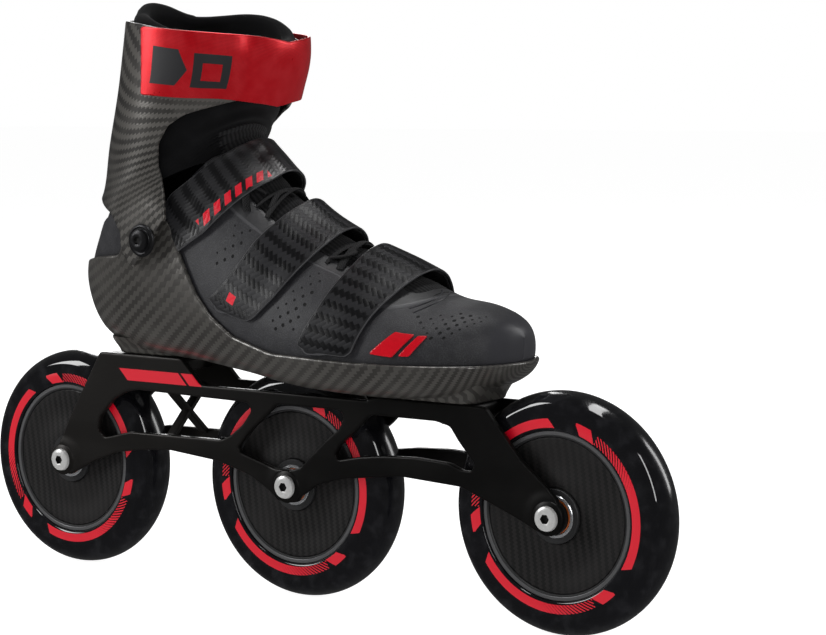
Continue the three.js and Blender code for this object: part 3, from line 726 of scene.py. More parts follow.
def foil(name, red):
    """Metallic foil on a fine woven base, with two plain dark patches printed on it."""
    finish = Finish(name, Coat_Weight=0.12, Coat_Roughness=0.2)
    u, v, _ = finish.place(True)
    weave_a = finish.sine(finish.times(finish.plus(u, v), 2 * math.pi / 1.25))
    weave_b = finish.sine(finish.times(finish.minus(u, v), 2 * math.pi / 1.25))
    weave = finish.times(weave_a, weave_b)
    crease = finish.noise(9.0, 3.0)

    def box(low, high, bottom, top, cut):
        lean = finish.times(finish.absolute(finish.minus(u, (bottom + top) / 2)), cut)
        inside = finish.above(v, low)
        inside = finish.times(inside, finish.below(finish.plus(v, lean), high))
        inside = finish.times(inside, finish.above(u, bottom))
        return finish.times(inside, finish.below(u, top))

    first = box(10.0, 31.0, -11.5, 11.5, 0.5)
    ring = finish.minus(box(34.0, 54.0, -12.0, 10.5, 0.0), box(39.0, 49.5, -6.5, 5.0, 0.0))
    mask = finish.most(first, ring)
    deep = finish.mix(finish.over(crease, 0.3, 0.75), red, rgb(0.75, 0.02, 0.03))
    tone = finish.mix(finish.over(weave, 0.1, 0.9), deep, rgb(0.28, 0.002, 0.006))
    finish.colour(finish.mix(mask, tone, rgb(0.016, 0.016, 0.018)))
    finish.put(finish.shader, "Metallic", finish.minus(0.55, finish.times(mask, 0.5)))
    finish.rough(finish.blend(mask, finish.plus(0.24, finish.times(crease, 0.12)), 0.5))
    finish.bump(finish.plus(finish.times(weave, 0.22), finish.times(crease, 1.5)), 0.1, 0.5)
    return finish.material


def webbing(name, tone):
    """Flat woven tape: rows of short threads, every other row shifted by half."""
    finish = Finish(name, Roughness=0.85, Specular_IOR_Level=0.2, Sheen_Weight=0.02)
    u, v, _ = finish.place(True)
    row = finish.floor(finish.divided(u, 0.9))
    shift = finish.times(finish.modulo(row, 2.0), 0.5)
    thread = finish.sine(finish.times(finish.plus(finish.divided(v, 1.6), shift), 2 * math.pi))
    ridge = finish.sine(finish.times(u, math.pi / 0.9))
    height = finish.plus(thread, finish.absolute(ridge))
    share = finish.over(height, -0.6, 1.6)
    finish.colour(finish.mix(share, rgb(*grey(tone * 0.3)), rgb(*grey(tone * 2, 1.05))))
    finish.bump(height, 0.12, 0.6)
    return finish.material


def metal(name, tone, roughness, metallic):
    """Plain machined metal or moulded plastic, with a fine uneven finish."""
    finish = Finish(name, Metallic=metallic)
    mark = finish.noise(1.2, 3.0)
    cloud = finish.noise(12.0, 2.0)
    low = rgb(*[t * 0.78 for t in tone])
    finish.colour(finish.mix(mark, low, rgb(*tone)))
    finish.rough(finish.plus(roughness, finish.times(cloud, 0.12)))
    finish.bump(mark, 0.02, 0.25)
    return finish.material


MATERIALS = {}
# The marks on a strap: their first and last length, the line they follow as its start and slope,
# their low and high edge above it, their pitch and how much of it is printed.
BAR_MARKS = (86.5, 122.0, 258.9, -0.328, 3.4, 10.6, 5.4, 0.6)
SPOT_MARK = (71.5, 75.5, 193.0, 0.0, 2.0, 6.6, 40.0, 1.0)


def make_materials(looks):
    """Every finish of the skate, made once."""
    red = rgb(*looks.print_red)
    MATERIALS.update({
        "frame": anodised("satin anodised frame with painted light", red),
        "tub": carbon("tub twill", looks.weave_mm, rgb(0.105, 0.1, 0.092), rgb(0.042, 0.039, 0.036),
                      turn=20),
        # The cuff twill is painted darker towards its back: painted shade.
        "cuff": carbon("cuff twill with painted shade", looks.weave_mm, rgb(0.15, 0.143, 0.132), rgb(0.03, 0.028, 0.026),
                       turn=12, coat=0.15, painted_shade_span=(-132.0, -76.0)),
        "disc": carbon("disc twill", 1.5, rgb(0.026, 0.024, 0.024), rgb(0.008, 0.008, 0.008),
                       uv=False, turn=38, bright=0.3, shine=0.42, coat=0.2),
        "upper": microfibre("grained microfibre"),
        "strap": strap_face("twill print strap", shine=0.16, coat=0.03),
        "strap_marked": strap_face("marked twill print strap", BAR_MARKS, red),
        "strap_spot": strap_face("spotted twill print strap", SPOT_MARK, red, shine=0.16, coat=0.03),
        "backing": webbing("strap backing", 0.006),
        "knit": knit("ribbed knit", 1.5, 0.012),
        "suede": suede("brushed lining"),
        "foil": foil("red foil strap", rgb(*looks.foil_red)),
        "webbing": webbing("black webbing", 0.012),
        "badge": metal("red raised badge", (0.62, 0.004, 0.014), 0.16, 0.0),
        "bolt": metal("bright bolt steel", (0.76, 0.76, 0.75), 0.24, 0.45),
        "race": metal("ground race steel", (0.62, 0.63, 0.65), 0.12, 0.7),
        "shield": metal("orange bearing shield", (0.62, 0.13, 0.012), 0.42, 0.1),
        "black": metal("black oxide steel", (0.03, 0.03, 0.032), 0.3, 0.8),
        # Painted shade for the inside of the hexagon sockets.
        "dark": metal("socket painted shade", (0.012, 0.012, 0.012), 0.5, 0.5),
        "hub": metal("moulded hub", (0.02, 0.02, 0.021), 0.4, 0.0),
        "lip": metal("satin hub lip", (0.17, 0.17, 0.175), 0.34, 0.6),
        "hole": metal("punched hole", (0.0015, 0.0015, 0.002), 0.8, 0.0),
        "grey": webbing("grey reflective tape", 0.18),
    })


# ------------------------------------------------------------------ stage
def make_stage(looks):
    """A plain floor, soft lights and the camera."""
    mesh = bpy.data.meshes.new("floor")
    reach = 12.0
    corners = [(-reach, -reach, 0), (reach, -reach, 0), (reach, reach, 0), (-reach, reach, 0)]
    mesh.from_pydata(corners, [], [(0, 1, 2, 3)])
    floor = bpy.data.objects.new("floor", mesh)
    bpy.context.scene.collection.objects.link(floor)
    pale = Finish("pale floor", Roughness=0.6)
    pale.colour(pale.mix(pale.noise(900.0, 2.0), rgb(0.42, 0.42, 0.42), rgb(0.44, 0.44, 0.44)))
    pale.shader.inputs["Emission Color"].default_value = rgb(1, 1, 1)
    pale.shader.inputs["Emission Strength"].default_value = 0.96
    pale.shader.inputs["Specular IOR Level"].default_value = 0.0
    mesh.materials.append(pale.material)
    floor.visible_glossy = False
    lights = (
        ("key", (-1.3, -1.1, 0.95), (0.4, 1.2), 15.0),
        ("fill", (1.5, -0.9, 0.8), (0.22, 1.1), 6.0),
        ("top", (0.1, 0.0, 1.9), (1.6, 0.35), 16.0),
        ("rim left", (-1.2, 1.3, 0.9), (0.4, 1.2), 9.0),
        ("rim right", (1.3, 1.4, 0.9), (0.4, 1.2), 9.0),
    )
    for name, place, size, power in lights:
        light = bpy.data.lights.new(name, "AREA")
        light.shape = "RECTANGLE"
        light.size, light.size_y = size
        light.energy = power * looks.light
        made = bpy.data.objects.new(name, light)
        made.location = place
        made.rotation_euler = (Vector((0.0, 0.0, 0.15)) - Vector(place)).to_track_quat("-Z", "Y").to_euler()
        bpy.context.scene.collection.objects.link(made)
    make_world()
    make_camera(looks)
    bpy.context.scene.view_settings.view_transform = "Standard"


def make_world():
    """A white backdrop for the camera, and a dim even room for the reflections."""
    world = bpy.data.worlds.new("studio")
    bpy.context.scene.world = world
    world.use_nodes = True
    tree = world.node_tree
    plain = tree.nodes["Background"]
    plain.inputs["Color"].default_value = rgb(1, 1, 1)
    plain.inputs["Strength"].default_value = 0.07
    backdrop = tree.nodes.new("ShaderNodeBackground")
    backdrop.inputs["Color"].default_value = rgb(1, 1, 1)
    backdrop.inputs["Strength"].default_value = 1.0
    path = tree.nodes.new("ShaderNodeLightPath")
    choice = tree.nodes.new("ShaderNodeMixShader")
    tree.links.new(path.outputs["Is Camera Ray"], choice.inputs[0])
    tree.links.new(plain.outputs[0], choice.inputs[1])
    tree.links.new(backdrop.outputs[0], choice.inputs[2])
    tree.links.new(choice.outputs[0], tree.nodes["World Output"].inputs["Surface"])


def make_camera(looks):
    """The camera stands in front on the outer side, a little above the boot."""
    back = Vector((0.57181, -0.81421, 0.10044)).normalized()
    turn = math.radians(35.08)
    level = Vector((math.cos(turn), math.sin(turn), 0.0))
    up = back.cross(level)
    roll = math.radians(-0.29)
    right = level * math.cos(roll) + up * math.sin(roll)
    up = -level * math.sin(roll) + up * math.cos(roll)
    data = bpy.data.cameras.new("camera")
    data.lens = looks.lens_mm
    data.sensor_width = 36.0
    data.clip_start, data.clip_end = 0.05, 60.0
    camera = bpy.data.objects.new("camera", data)
    rows = [[right[k], up[k], back[k], (0.75206, -0.9685, 0.27629)[k]] for k in range(3)]
    camera.matrix_world = Matrix(rows + [[0.0, 0.0, 0.0, 1.0]])
    bpy.context.scene.collection.objects.link(camera)
    bpy.context.scene.camera = camera


# ------------------------------------------------------------------ frame
SIDE_OUTLINE = [
    (-135, 127.5), (-74, 127.5), (-60, 113.5), (54, 113.5), (59, 115.6), (128, 115.6), (150, 90),
    (170, 73), (175.5, 62), (171, 54), (161, 54.5), (140, 63), (113, 73), (75, 75), (37, 70),
    (20, 65), (9.5, 58), (6, 54), (-6, 54), (-11, 58), (-26, 66), (-49, 72), (-84, 75), (-107, 73),
    (-124, 70), (-143, 63), (-160, 54.5), (-171, 54), (-175.5, 62), (-171, 68), (-157, 92),
]
WINDOWS = [
    [(-138, 82), (-136, 90), (-125, 101), (-116, 105.5), (-107, 107.5), (-39, 106.5), (-26, 106),
     (-24, 102), (-30, 94), (-39, 87), (-46, 84), (-58, 84), (-113, 83), (-133, 78)],
    [(-6, 107), (37, 107), (39, 103), (36, 97), (27, 90), (9, 73.5), (2, 71.5), (-9, 71.5), (-32, 78),
     (-34, 81), (-26, 90)],
    [(55, 105), (59, 106), (98, 106), (107, 104), (112, 97), (122, 86), (120, 82), (114, 82),
     (106, 85), (85, 86), (64, 85), (49, 83), (35, 80), (33, 83), (37, 89), (47, 97)],
]


def kept_corners(points, radius=2.0, rounds=2):
    """An outline whose corners are rounded only near themselves: two points are put on each side
    at that distance from a corner, or nearer on a short side, before the corners are cut."""
    points = np.array(points, float)
    before, after = np.roll(points, 1, 0), np.roll(points, -1, 0)

    def toward(other):
        step = other - points
        length = np.linalg.norm(step, axis=1, keepdims=True)
        return points + step / length * np.minimum(radius, 0.45 * length)

    doubled = np.stack([toward(before), points, toward(after)], 1).reshape(-1, 2)
    return smoothed(doubled, rounds)


def make_frame(looks):
    """Two windowed side plates with axle bosses, the two mounting decks and the crossed brace."""
    side_line = kept_corners(SIDE_OUTLINE, 4.0)
    holes = [kept_corners(w, 4.5, 3) for w in WINDOWS]

    def sculpt(points):
        """Below the crease line the plate's outer face leans in towards its lower edge."""
        x, y, z = points.T
        crease = 88 - 9 * np.exp(-((np.abs(x) - 60) / 50) ** 2)
        lean = 0.9 * ramp(crease - z, 0, 14) * (np.abs(y) > 16)
        boss = np.minimum.reduce([np.hypot(x - c, z - AXLE_HEIGHT) for c in WHEELS.values()])
        lean = lean * ramp(boss, 9, 16)
        return np.stack([x, np.sign(y) * (np.abs(y) - lean), z], -1)

    plate = slab(side_line, PLATE_IN, PLATE_OUT, looks.edge_mm, 1.25, holes, shape=sculpt)
    patches = [plate, Patch(plate.points * [1, -1, 1], plate.faces[:, ::-1], plate.uv[:, ::-1], plate.edge)]
    for side in (-1, 1):
        for x in WHEELS.values():
            boss = [(4.1, 12.2), (8.4, 12.2), (9, 12.8), (9, 17.9), (8.3, 18.6), (4.1, 18.6)]
            patches.append(turned([(r, y * side) for r, y in boss], 72, x))
    decks = (((-133, -78), (119, 127.4)), ((64, 117), (108, 115.5)))
    for (x0, x1), (z0, z1) in decks:
        block = [(x0, z0), (x0, z1 - 1.5), (x0 + 1.5, z1), (x1 - 1.5, z1), (x1, z1 - 1.5), (x1, z0)]
        patches.append(slab(block, -14.4, 14.4, 0.6, 2.0))
    rise, half = 14.0, 15.0
    angle = math.atan2(rise, half)
    off = 1.5 / math.cos(angle)
    for sign in (1, -1):
        low, high = 95.5 - rise * sign, 95.5 + rise * sign
        strip = [(-half, low - off), (half, high - off), (half, high + off), (-half, low + off)]
        patches.append(slab(strip, -88, -82, 0.7, 0.9, axis="x"))
    piece("side_frame", patches, MATERIALS["frame"], "skate", ["frame"], sharp=50)


# ------------------------------------------------------------------ wheels
def tyre_profile():
    """The tyre's section: a chamfered seat, flat sides with a shallow step, and a tread that is
    an ellipse of 8.5 by 12."""
    half = [(43.5, 10.6), (43.6, 11.3), (44.1, 11.8), (44.8, 12.0), (50.4, 12.0), (50.8, 11.85),
            (53.2, 11.85)]
    angle = np.radians(np.linspace(84, -84, 43))
    tread = [(54 + 8.5 * math.cos(a), 12 * math.sin(a)) for a in angle]
    return half + tread + [(r, -y) for r, y in half[::-1]]


def make_wheels(looks):
    """Each wheel's tyre, hub, two carbon discs, two bearings and axle, each a profile carried
    round the axle. rotation is the share of a turn by which the tyre's print is set."""
    rotation = {"rear": 0.64, "middle": 0.875, "front": 0.875}
    red = rgb(*looks.print_red)
    tyre = tyre_profile()
    rim = [(43.4, 10.0), (43.0, 10.4), (40.6, 10.4), (40.1, 9.9)]
    web = [(40, 9.0), (40, 2), (14, 2), (14, 11.3), (13.7, 11.6), (11.2, 11.6), (11, 11.4), (11, 4.9),
           (9.6, 4.9)]
    half = rim + web
    core = half + [(r, -y) for r, y in half[::-1]]
    for name, x in WHEELS.items():
        body = f"{name}_wheel"
        rubber = urethane(f"{name} urethane", rotation[name], red)
        piece(f"{name}_tread", turned(tyre, 144, x), rubber, body, [f"{name}_tyre"], sharp=60)
        piece(f"{name}_core", turned(core, 96, x), MATERIALS["hub"], body, [f"{name}_hub"],
              sharp=35)
        for where, side in SIDES.items():
            lip = [(43.45, 9.9), (43.0, 10.55), (41.4, 10.55), (40.9, 10.2), (40.9, 9.4), (43.45, 9.4)]
            piece(f"{name}_lip_{where}", turned([(r, y * side) for r, y in lip], 96, x),
                  MATERIALS["lip"], body, sharp=35)
            make_disc(name, where, side, x, body)
            make_bearing(name, where, side, x, body)
        make_axle(name, x)


def make_disc(name, where, side, x, body):
    """The disc: a shallow dish, 0.7 deeper halfway between its rim and its bore along the square
    of a sine, with a step down at both edges."""
    radius = np.concatenate([[DISC_IN], np.linspace(DISC_IN + 0.4, DISC_OUT - 0.4, 20), [DISC_OUT]])
    dish = 9.8 - 0.7 * np.sin(np.pi * (radius - DISC_IN) / (DISC_OUT - DISC_IN)) ** 2
    dish[[0, -1]] = 9.5
    top = list(zip(radius, dish * side))
    bottom = [(DISC_OUT, 8.4 * side), (DISC_IN, 8.4 * side)]
    piece(f"{name}_plate_{where}", turned(top + bottom, 96, x), MATERIALS["disc"], body,
          [f"{name}_disc_{where}"], sharp=35)


def make_bearing(name, where, side, x, body):
    """Outer race, shield with a moulded ridge, and inner race."""
    outer = [(9.3, 5.0), (10.8, 5.0), (10.98, 5.3), (10.98, 11.7), (10.7, 12.0), (9.6, 12.0), (9.3, 11.7)]
    cover = [(6.3, 11.0), (9.0, 11.0), (9.0, 11.4), (8.6, 11.55), (8.2, 11.4), (7.2, 11.4), (6.9, 11.55),
             (6.3, 11.45)]
    inner = [(4.0, 5.0), (5.9, 5.0), (6.0, 5.2), (6.0, 11.8), (5.8, 12.0), (4.3, 12.0), (4.0, 11.7)]
    for part, profile, rides, material, slot in (
        ("outer_race", outer, body, "race", "bearing_steel"),
        ("shield", cover, body, "shield", "bearing_shield"),
        ("inner_race", inner, "skate", "race", "bearing_steel"),
    ):
        ring = turned([(r, y * side) for r, y in profile], 64, x)
        piece(f"{name}_{part}_ring_{where}", ring, MATERIALS[material], rides,
              [f"{name}_{part}_{where}"], sharp=30)


def socket_screw(profile, x, z=AXLE_HEIGHT):
    """A turned screw whose second to fourth rows are a hexagon socket, painted dark down to its rim: painted
    shade in the recess.
    """
    segments = 72
    screw = turned(profile, segments, x, z, hexed=(1, 2, 3), closed=False)
    # The socket's faces take the second material, a painted shade in the recess.
    screw.finish = (np.arange(len(screw.faces)) < 3 * segments).astype(int)
    return screw


def make_axle(name, x):
    """The axle screw: a domed head with a hexagon socket, and a chamfered end."""
    profile = [(0, -19.4), (2.6, -19.4), (2.65, -19.6), (2.65, -21.0), (2.95, -21.2), (5.0, -21.15),
               (6.1, -20.5), (6.5, -19.2), (6.4, -18.75), (3.85, -18.75), (3.85, 18.0), (3.3, 18.6), (0, 18.6)]
    # The second material paints the socket's shade.
    piece(f"{name}_axle_screw", socket_screw(profile, x), [MATERIALS["bolt"], MATERIALS["dark"]], "skate",
          [f"{name}_axle"], sharp=35)


# ------------------------------------------------------------------ carbon tub and cuff
TUB_LINE = ([(-172, 96), (-172, 172), (-148, 178), (-118, 184), (-98, 186)]
            + arc(PIVOT, 16, 165, 5, 9)
            + [(-51, 181), (-42, 167), (-31, 156), (-14, 146), (14, 139), (66, 137.6), (110, 137.2),
               (165, 137), (165, 96)])


def beside_pivot(points, near, far):
    """How much a point belongs to the flat round the pivot: 1 within near, 0 beyond far."""
    return 1 - ramp(np.hypot(points[..., 0] - PIVOT[0], points[..., 2] - PIVOT[1]), near, far)


def side_field(field, offset):
    """A side-view field as a function on the form's skin at an offset."""
    def found(s, v):
        points = skin(s, v, np.full(np.shape(s), float(offset)))
        return field(points[..., 0], points[..., 2])
    return found


def bowl(centre, low, high, z0, z1, power, x_shift=0.0):
    """A block that widens upwards between two heights: level rings that are superellipses, whose
    half lengths and half widths go from low to high along an S-curve, with a closed floor."""
    theta = np.linspace(0, 2 * np.pi, 97)
    rings = [(z0 + 1.0, 0.001, 0), (z0, 0.9, 0), (z0 + 0.3, 0.97, 0), (z0 + 1.0, 1.0, 0)]
    rings += [(z0 + 1.0 + (z1 - z0 - 1.0) * t, 1.0, t) for t in np.linspace(0.06, 1, 16)] + [(z1, 0.001, 1)]
    rows = []
    for z, share, t in rings:
        grow = t**1.35
        a = (low[0] + (high[0] - low[0]) * grow) * share
        b = (low[1] + (high[1] - low[1]) * grow) * share
        p = 2 / (power[0] + (power[1] - power[0]) * grow)
        x = centre + x_shift * grow + a * np.sign(np.cos(theta)) * np.abs(np.cos(theta)) ** p
        y = b * np.sign(np.sin(theta)) * np.abs(np.sin(theta)) ** p
        rows.append(np.stack([x, y, np.full(theta.shape, z)], -1))
    points = np.stack(rows)
    return grid_patch(points, np.stack([points[..., 0], points[..., 2] + points[..., 1] * 0.6], -1))


def make_tub():
    """The carbon tub under the foot: the skin between two offsets, cut along its side-view line,
    with ears beside the pivots and blocks on the two decks."""
    line = outline_field(smoothed(kept_corners(TUB_LINE, 5.0, 1), 2))

    def surface(s, v, offset):
        """The skin, held in beside the pivots so that its outer face stays 42 from the middle."""
        points = skin(s, v, offset)
        flat = beside_pivot(points, 19, 25)
        side = np.abs(points[..., 1])
        limit = np.minimum(side, 42.0 - (2.8 - offset))
        points[..., 1] = np.sign(points[..., 1]) * (side + (limit - side) * flat)
        return points

    profile = rim_profile(0.4, 2.8, 1.19, 4)
    s, v = np.linspace(0.0, 13.3, 190), np.linspace(-2.5, 2.5, 128)
    sheet = cut_sheet(surface, side_field(line, 1.6), s, v, profile, (ROW_MM, ROUND_MM))
    blocks = [bowl(-99.5, (23.5, 16.5), (27.0, 26.0), 127.7, 138.0, (7, 3), -1.0),
              bowl(93.5, (27.5, 18.5), (34.0, 29.0), 115.8, 130.5, (7, 2.5), 2.0)]
    piece("carbon_tub", [sheet] + blocks, MATERIALS["tub"], "skate", ["boot_shell"],
          sharp=50)


CUFF_LINE = ([(-178, 300), (-178, 216), (-135, 216), (-112, 215), (-99, 209)]
             + arc(PIVOT, 17, 170, 370, 13)
             + [(-61, 212), (-64, 224), (-65, 236), (-63, 248), (-57, 257), (-48, 263), (-34, 268),
                (-22, 273), (-16, 284), (-18, 300), (-45, 307), (-75, 312), (-100, 315), (-118, 315.5),
                (-150, 316)])


def make_cuff():
    """The hinged carbon cuff, open in front: the skin further out than the tub's, cut along its
    side-view line, with two flat arms down to the pivots."""
    line = outline_field(kept_corners(CUFF_LINE, 4.0, 2))

    def surface(s, v, offset):
        """The skin, drawn beside the pivots to a flat arm just outside the tub's ear."""
        points = skin(s, v, offset)
        flat = beside_pivot(points, 18, 34)
        side = np.abs(points[..., 1])
        target = 42.5 + (offset - 3.2) / 2.6 * 3.2
        points[..., 1] = np.sign(points[..., 1]) * (side + (target - side) * flat)
        return points

    profile = rim_profile(3.2, 5.8, 1.28, 4)
    s, v = np.linspace(9.6, 16.1, 150), np.linspace(-2.75, 2.75, 150)
    sheet = cut_sheet(surface, side_field(line, 4.5), s, v, profile, (ROW_MM, ROUND_MM))
    piece("carbon_cuff", sheet, MATERIALS["cuff"], "cuff", ["cuff"], sharp=50)


# ------------------------------------------------------------------ upper
THROAT_HALF = 18.5
THROAT_TOE = 78.0


def throat_field(points):
    """Positive inside the throat: a strip along the crown with a round toe end, seen from above."""
    x, y, z = np.moveaxis(points, -1, 0)
    ahead = np.maximum(x - (THROAT_TOE - THROAT_HALF), 0)
    inside = THROAT_HALF - np.hypot(ahead, y + 1.0)
    return np.where(z > 152, inside, -40.0)


UPPER_LINE = [(-170, 105), (-170, 198), (-120, 203), (-97, 212), (-66, 214), (-56, 226), (-44, 240),
              (-30, 246), (0, 250), (200, 230), (200, 105)]


def make_upper(looks):
    """The microfibre upper: the skin cut by its side-view line and by the throat, whichever
    distance is larger, with its punched holes, toe curves and badge."""
    line = outline_field(kept_corners(UPPER_LINE, 6.0, 2))

    def field(s, v):
        points = form(s, v)
        return np.maximum(line(points[..., 0], points[..., 2]), throat_field(points))

    profile = rim_profile(-1.7, 0.05, 0.85, 3)
    s, v = np.linspace(0.0, 12.2, 200), np.linspace(0, 2 * np.pi, 201)
    sheet = cut_sheet(skin, field, s, v, profile, (ROW_MM, ROUND_MM), closed=True)
    sheet.edge = throat_field(sheet.points) / (1 + 1.5 * ramp(sheet.points[:, 0], 40, 88))
    piece("boot_upper", sheet, MATERIALS["upper"], "skate", ["upper"], sharp=60)
    make_holes(looks)
    make_badge()
    make_toe_curves()


HOLE_PATCHES = [
    [(8.1, 2.33), (7.71, 2.37), (7.74, 1.99), (7.9, 1.8), (8.15, 1.92), (8.06, 2.16)],
    [(6.12, 2.5), (5.8, 2.44), (5.9, 1.72), (6.42, 1.64), (6.4, 2.0)],
    [(4.2, 2.42), (3.1, 2.62), (2.35, 2.72), (2.2, 2.45), (3.0, 1.95), (3.75, 2.12)],
]


def make_holes(looks):
    """Punched holes: small dished rounds on a staggered net, inside each patch and its mirror."""
    centre_s, centre_v = [], []
    for patch, wide in zip(HOLE_PATCHES, (1.0, 1.0, 1.25)):
        pitch_s, pitch_v = looks.hole_pitch_mm * wide / ROW_MM, looks.hole_pitch_mm * wide / ROUND_MM
        net = np.arange(1.2, 9, pitch_s), np.arange(1.4, 3.1, pitch_v * 0.5)
        net_s, net_v = np.meshgrid(*net, indexing="ij")
        net_s = net_s + (np.arange(net_v.shape[1]) % 2) * 0.5 * pitch_s
        field = outline_field([(a * ROW_MM, b * ROUND_MM) for a, b in patch])
        inside = field(net_s * ROW_MM, net_v * ROUND_MM) < 0
        centre_s.append(net_s[inside])
        centre_v.append(net_v[inside])
    centre_s, centre_v = np.concatenate(centre_s), np.concatenate(centre_v)
    centre_s = np.concatenate([centre_s, centre_s])
    centre_v = np.concatenate([centre_v, 2 * np.pi - centre_v])
    size = 0.72 + 0.22 * np.sin(centre_s * 7 + centre_v * 5)
    theta = np.linspace(0, 2 * np.pi, 13)
    rings = [(0.02, 0.06), (0.75, 0.07), (1.0, 0.12), (1.16, 0.02)]
    h = 0.01
    around = form(centre_s, centre_v + h) - form(centre_s, centre_v - h)
    along = form(centre_s + h, centre_v) - form(centre_s - h, centre_v)
    scale_v = np.linalg.norm(around, axis=-1) / (2 * h)
    scale_s = np.linalg.norm(along, axis=-1) / (2 * h)
    patches = []
    for share, offset in rings:
        s = centre_s[:, None] + size[:, None] * share * np.cos(theta) / scale_s[:, None]
        v = centre_v[:, None] + size[:, None] * share * np.sin(theta) / scale_v[:, None]
        patches.append(skin(s, v, np.full(s.shape, offset)))
    points = np.stack(patches, 1)
    count, rows, columns = points.shape[:3]
    one = grid_faces(rows, columns)
    faces = (one[None] + (np.arange(count) * rows * columns)[:, None, None]).reshape(-1, 4)
    uv = np.zeros((len(faces), 4, 2))
    holes = Patch(points.reshape(-1, 3), faces, uv)
    piece("punched_holes", holes, MATERIALS["hole"], "skate", outward=False, merge=0.04)


def in_millimetres(line):
    """A field on rough millimetres along and round the form, as a function of s and v."""
    return lambda s, v: line(s * ROW_MM, v * ROUND_MM)


def make_badge():
    """A plain raised mark beside the toe: two slanted bars on the form's skin."""
    bars = [[(4.42, 1.72), (3.98, 1.72), (3.72, 2.1), (4.12, 2.1)],
            [(3.88, 1.74), (3.66, 1.74), (3.44, 2.08), (3.64, 2.08)]]
    patches = []
    for bar in bars:
        outline = kept_corners([(a * ROW_MM, b * ROUND_MM) for a, b in bar], 1.6)
        line = outline_field(outline)
        low, high = outline.min(0) - 1.5, outline.max(0) + 1.5
        s = np.arange(low[0], high[0], 0.7) / ROW_MM
        v = np.arange(low[1], high[1], 0.7) / ROUND_MM
        profile = rim_profile(-0.1, 1.1, 0.55, 4)
        patches.append(cut_sheet(skin, in_millimetres(line), s, v, profile, (ROW_MM, ROUND_MM)))
    piece("toe_badge", patches, MATERIALS["badge"], "skate", sharp=50)


def tube(path, radius, segments=10, flat=1.0):
    """A round or flattened tube along points: at each point a ring stands across the path, and
    it is flat times as high as it is wide. The ends are closed."""
    path = np.asarray(path, float)
    slope = np.gradient(path, axis=0)
    slope /= np.linalg.norm(slope, axis=1, keepdims=True)
    side = np.cross(slope, [0.0, 0.0, 1.0])
    side /= np.maximum(np.linalg.norm(side, axis=1, keepdims=True), 1e-9)
    rise = np.cross(side, slope)
    theta = np.linspace(0, 2 * np.pi, segments + 1)
    size = np.ones(len(path) + 2)
    size[[0, -1]] = 1e-4
    path = np.concatenate([path[:1], path, path[-1:]])
    side, rise = (np.concatenate([m[:1], m, m[-1:]]) for m in (side, rise))
    wide, high = np.cos(theta)[None, :, None], flat * np.sin(theta)[None, :, None]
    ring = wide * side[:, None] + high * rise[:, None]
    points = path[:, None] + ring * (radius * size)[:, None, None]
    run = np.concatenate([[0], np.cumsum(np.linalg.norm(np.diff(path, axis=0), axis=1))])
    return grid_patch(points, np.stack(np.broadcast_arrays(theta[None] * radius, run[:, None]), -1))


def make_toe_curves():
    """Two thin raised curves at the toe end of the throat: tubes along parabolas on the skin."""
    patches = []
    for depth, reach in ((4.02, 0.34), (3.9, 0.38)):
        b = np.linspace(-1, 1, 31)
        s = depth + 0.18 * b**2
        v = np.pi - 0.3 + reach * b
        patches.append(tube(skin(s, v, np.full(s.shape, 0.1)), 0.45, 8))
    piece("toe_embossing", patches, MATERIALS["upper"], "skate")


# ------------------------------------------------------------------ straps
STRAPS = {
    "instep": [(8.95, 1.72), (10.0, 1.84), (10.27, 2.0), (10.11, 2.26), (10.02, 2.58), (9.93, 2.85),
               (9.95, 3.14), (9.98, 3.5), (10.1, 4.0), (10.15, 4.36), (8.9, 4.36), (8.45, 4.0), (8.22, 3.6),
               (8.15, 3.14), (8.12, 2.9), (8.31, 2.56), (8.56, 2.05)],
    "middle": [(6.72, 1.7), (6.85, 1.62), (7.5, 1.55), (7.78, 1.6), (7.62, 1.8), (7.52, 2.05), (7.49, 2.3),
               (7.38, 2.62), (7.32, 2.95), (7.36, 3.4), (7.55, 4.0), (7.72, 4.5), (6.72, 4.54), (6.5, 4.1),
               (6.3, 3.6), (6.22, 3.14), (6.24, 2.75), (6.3, 2.5), (6.4, 2.2), (6.5, 1.98)],
    "toe": [(4.7, 1.68), (4.8, 1.6), (5.5, 1.54), (5.72, 1.6), (5.68, 1.8), (5.6, 2.07), (5.57, 2.35),
            (5.54, 2.61), (5.56, 3.0), (5.58, 3.4), (5.63, 4.0), (5.67, 4.54), (4.75, 4.58), (4.68, 4.1),
            (4.56, 3.6), (4.49, 3.14), (4.5, 2.8), (4.54, 2.5), (4.62, 2.2), (4.67, 1.88)],
}


STRAP_LIFT = {"instep": 7.5, "middle": 6.0, "toe": 5.5}


